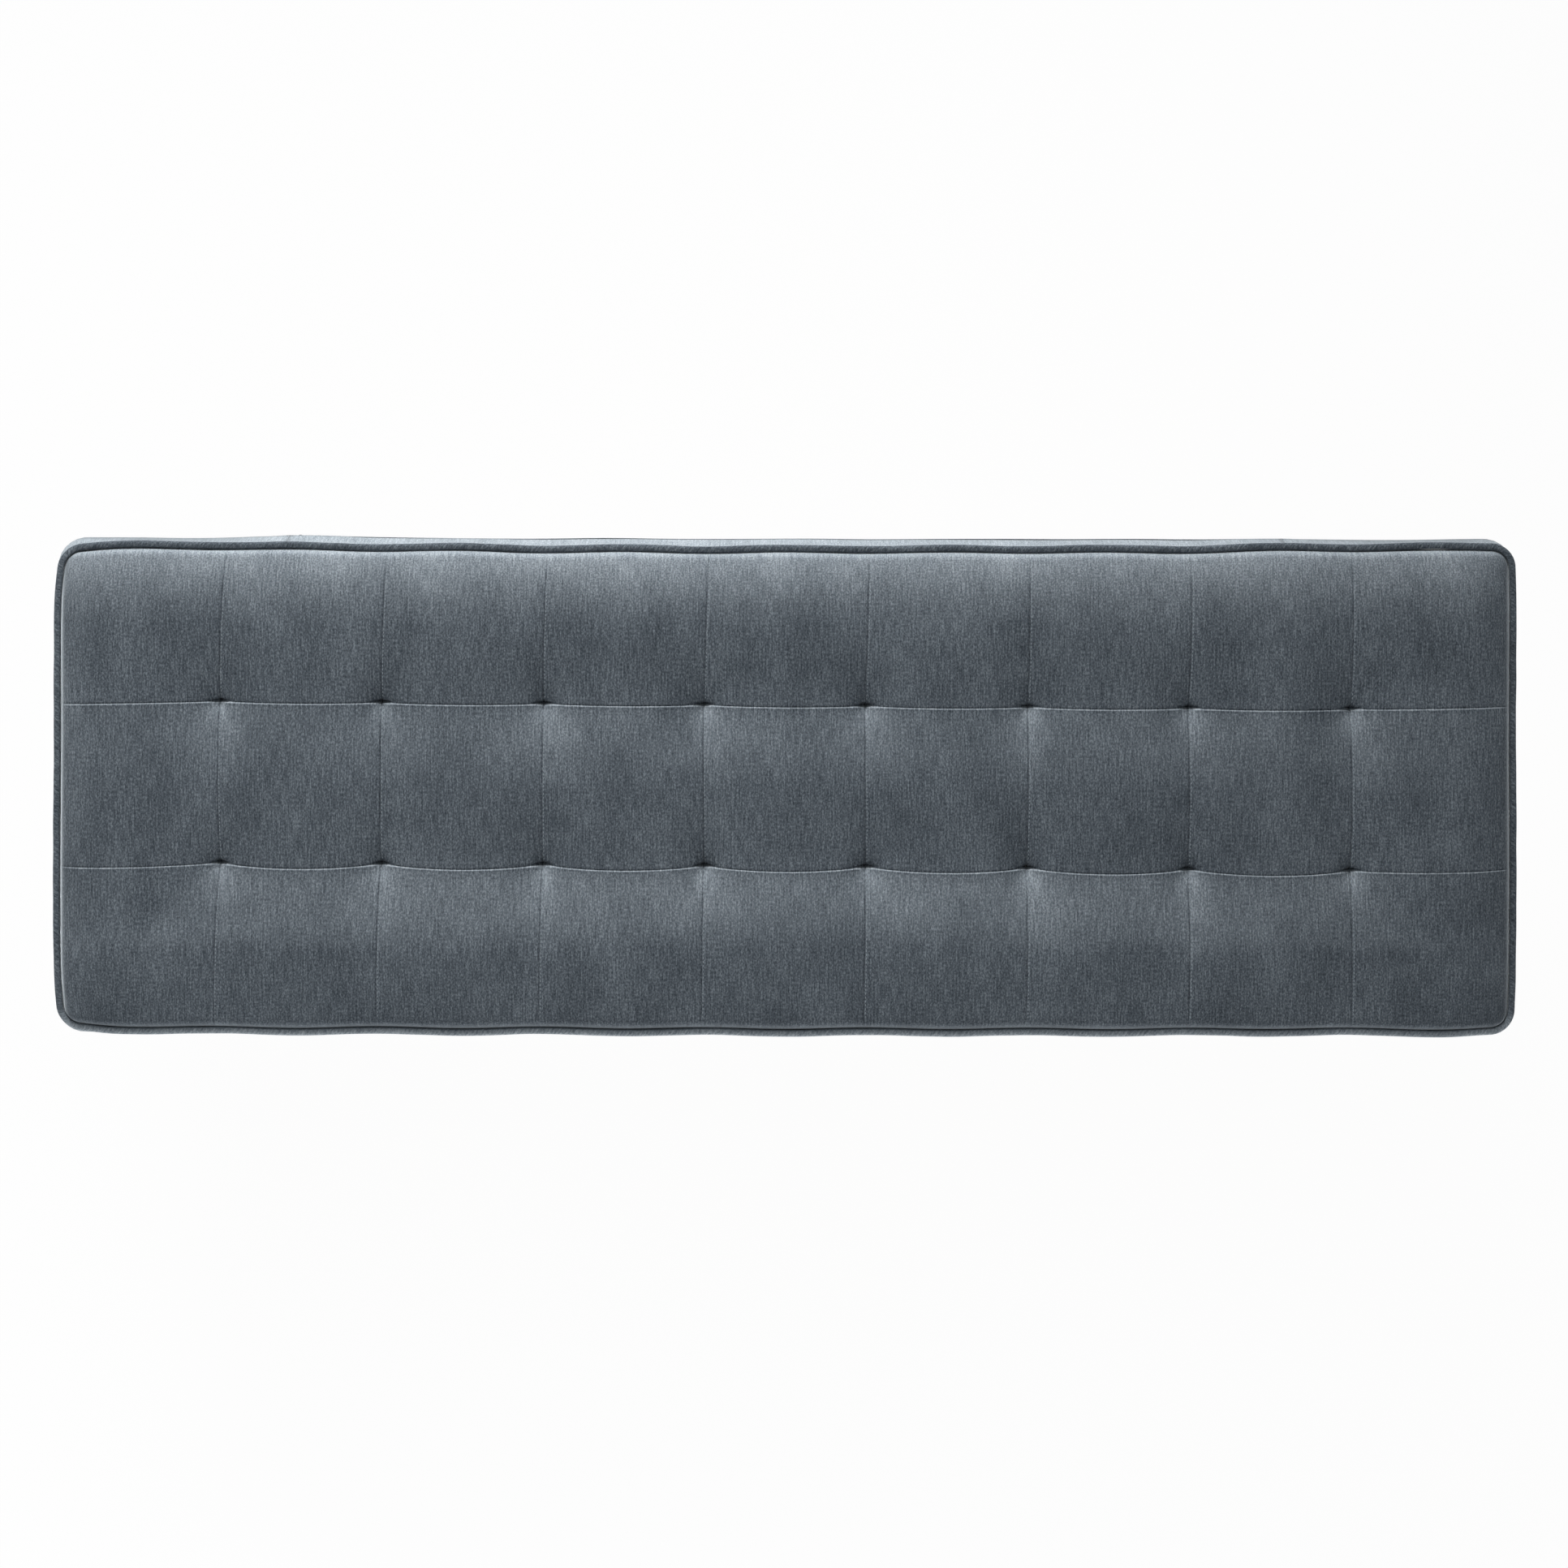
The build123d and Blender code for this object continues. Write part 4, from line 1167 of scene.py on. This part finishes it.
# %% Camera
FRAME_PX = 1932
OBJECT_PX = (66, 1869)  # ends of the piping in the photograph
PIPING_MID_PX = 970.3  # middle of the piped depth, from the top of the photograph
CAMERA_RISE = 3.6  # above the piping
CAMERA_BACK = 0.27  # towards the back
CAMERA_ROLL = math.radians(0.10)

frame_width = 2 * HALF_X * FRAME_PX / (OBJECT_PX[1] - OBJECT_PX[0])
camera_data = bpy.data.cameras.new("camera")
camera = bpy.data.objects.new("camera", camera_data)
scene.collection.objects.link(camera)
scene.camera = camera
camera.location = (0.0, CAMERA_BACK, PIPING_Z + CAMERA_RISE)
camera.rotation_euler = (0.0, 0.0, CAMERA_ROLL)
camera_data.sensor_width = 36.0
camera_data.lens = camera_data.sensor_width * CAMERA_RISE / frame_width
camera_data.shift_x = (FRAME_PX - sum(OBJECT_PX)) / 2 / FRAME_PX
camera_data.shift_y = (PIPING_MID_PX - FRAME_PX / 2) / FRAME_PX - CAMERA_BACK / frame_width
camera_data.clip_end = 50.0
print("camera lens %.1f mm, frame %.3f m wide" % (camera_data.lens, frame_width))

# %% White floor
FLOOR_HALF = 8.0
FLOOR_WHITE = 0.96  # the rest of the floor's light is real, so the shadow stays
WHITE = (1.0, 1.0, 1.0, 1.0)


def floor_paint(add):
    """Matt white studio paint: an even, dull floor."""
    return {"Base Color": linear("#fafafa"), "Roughness": 0.8}


def direct_view(add):
    """1 for what the camera sees, straight or through a reflection, and 0 for light on the object."""
    path = add("LightPath").outputs
    seen = path["Is Camera Ray"]
    for kind in ("Is Glossy Ray", "Is Transmission Ray"):
        seen = add("Math", {0: seen, 1: path[kind]}, operation="MAXIMUM").outputs[0]
    return seen


floor_bm = bmesh.new()
bmesh.ops.create_grid(floor_bm, x_segments=1, y_segments=1, size=FLOOR_HALF)
floor = add_object("floor", floor_bm)
floor_white = make_material("white studio floor", floor_paint)
floor.data.materials.append(floor_white)
floor_tree = floor_white.node_tree
add_floor = partial(add_node, floor_tree)
painted = floor_tree.nodes["Principled BSDF"].outputs[0]
part_white = add_floor("Math", {0: direct_view(add_floor), 1: FLOOR_WHITE}, operation="MULTIPLY").outputs[0]
glow = add_floor("Emission", {"Color": WHITE, "Strength": 1.0}).outputs[0]
seen_floor = add_floor("MixShader", {0: part_white, 1: painted, 2: glow}).outputs[0]
set_inputs(floor_tree, floor_tree.nodes["Material Output"], {"Surface": seen_floor})
print("floor:", 2 * FLOOR_HALF, "m wide")

# %% Sky and backdrop
HORIZON, ZENITH = 0.62, 0.20  # a white studio is brightest low down, where its walls are lit
ZENITH_FROM = 0.6  # the sky has its upper strength above this height of a unit dome

world = bpy.data.worlds.new("studio")
scene.world = world
world.use_nodes = True
sky_tree = world.node_tree
add_sky = partial(add_node, sky_tree)
way = add_sky("TexCoord").outputs["Generated"]
height = add_sky("SeparateXYZ", {"Vector": way}).outputs["Z"]
fade = {"Value": height, "From Max": ZENITH_FROM, "To Min": HORIZON, "To Max": ZENITH}
strength = add_sky("MapRange", fade, interpolation_type="SMOOTHSTEP").outputs[0]
sky = sky_tree.nodes["Background"]
set_inputs(sky_tree, sky, {"Color": linear("#f6f8fa"), "Strength": strength})
backdrop = add_sky("Background", {"Color": WHITE, "Strength": 1.0})
room = add_sky("MixShader", {0: direct_view(add_sky), 1: sky.outputs[0], 2: backdrop.outputs[0]})
set_inputs(sky_tree, sky_tree.nodes["World Output"], {"Surface": room.outputs[0]})
print("sky strength:", HORIZON, "low down,", ZENITH, "above")

# %% Lamps


def lamp(name, place, target, size, watts):
    """A soft rectangular lamp that looks at a point."""
    data = bpy.data.lights.new(name, "AREA")
    data.shape = "RECTANGLE"
    data.size, data.size_y = size
    data.energy = watts
    light = bpy.data.objects.new(name, data)
    scene.collection.objects.link(light)
    light.visible_glossy = False  # polished wood and metal mirror the white room, not the lamp
    light.location = place
    light.rotation_euler = (Vector(target) - Vector(place)).to_track_quat("-Z", "Y").to_euler()
    return light


key = lamp("key", (-0.7, 3.6, 1.85), (-0.4, 0.0, 0.4), (3.0, 1.2), 27.5)
key.data.spread = math.radians(55)
fill = lamp("fill", (-0.8, -3.4, 1.5), (-0.3, 0.0, 0.4), (3.0, 1.0), 62.0)
scene.view_settings.view_transform = "Standard"
print("lamps:", key.name, key.data.energy, "W,", fill.name, fill.data.energy, "W")
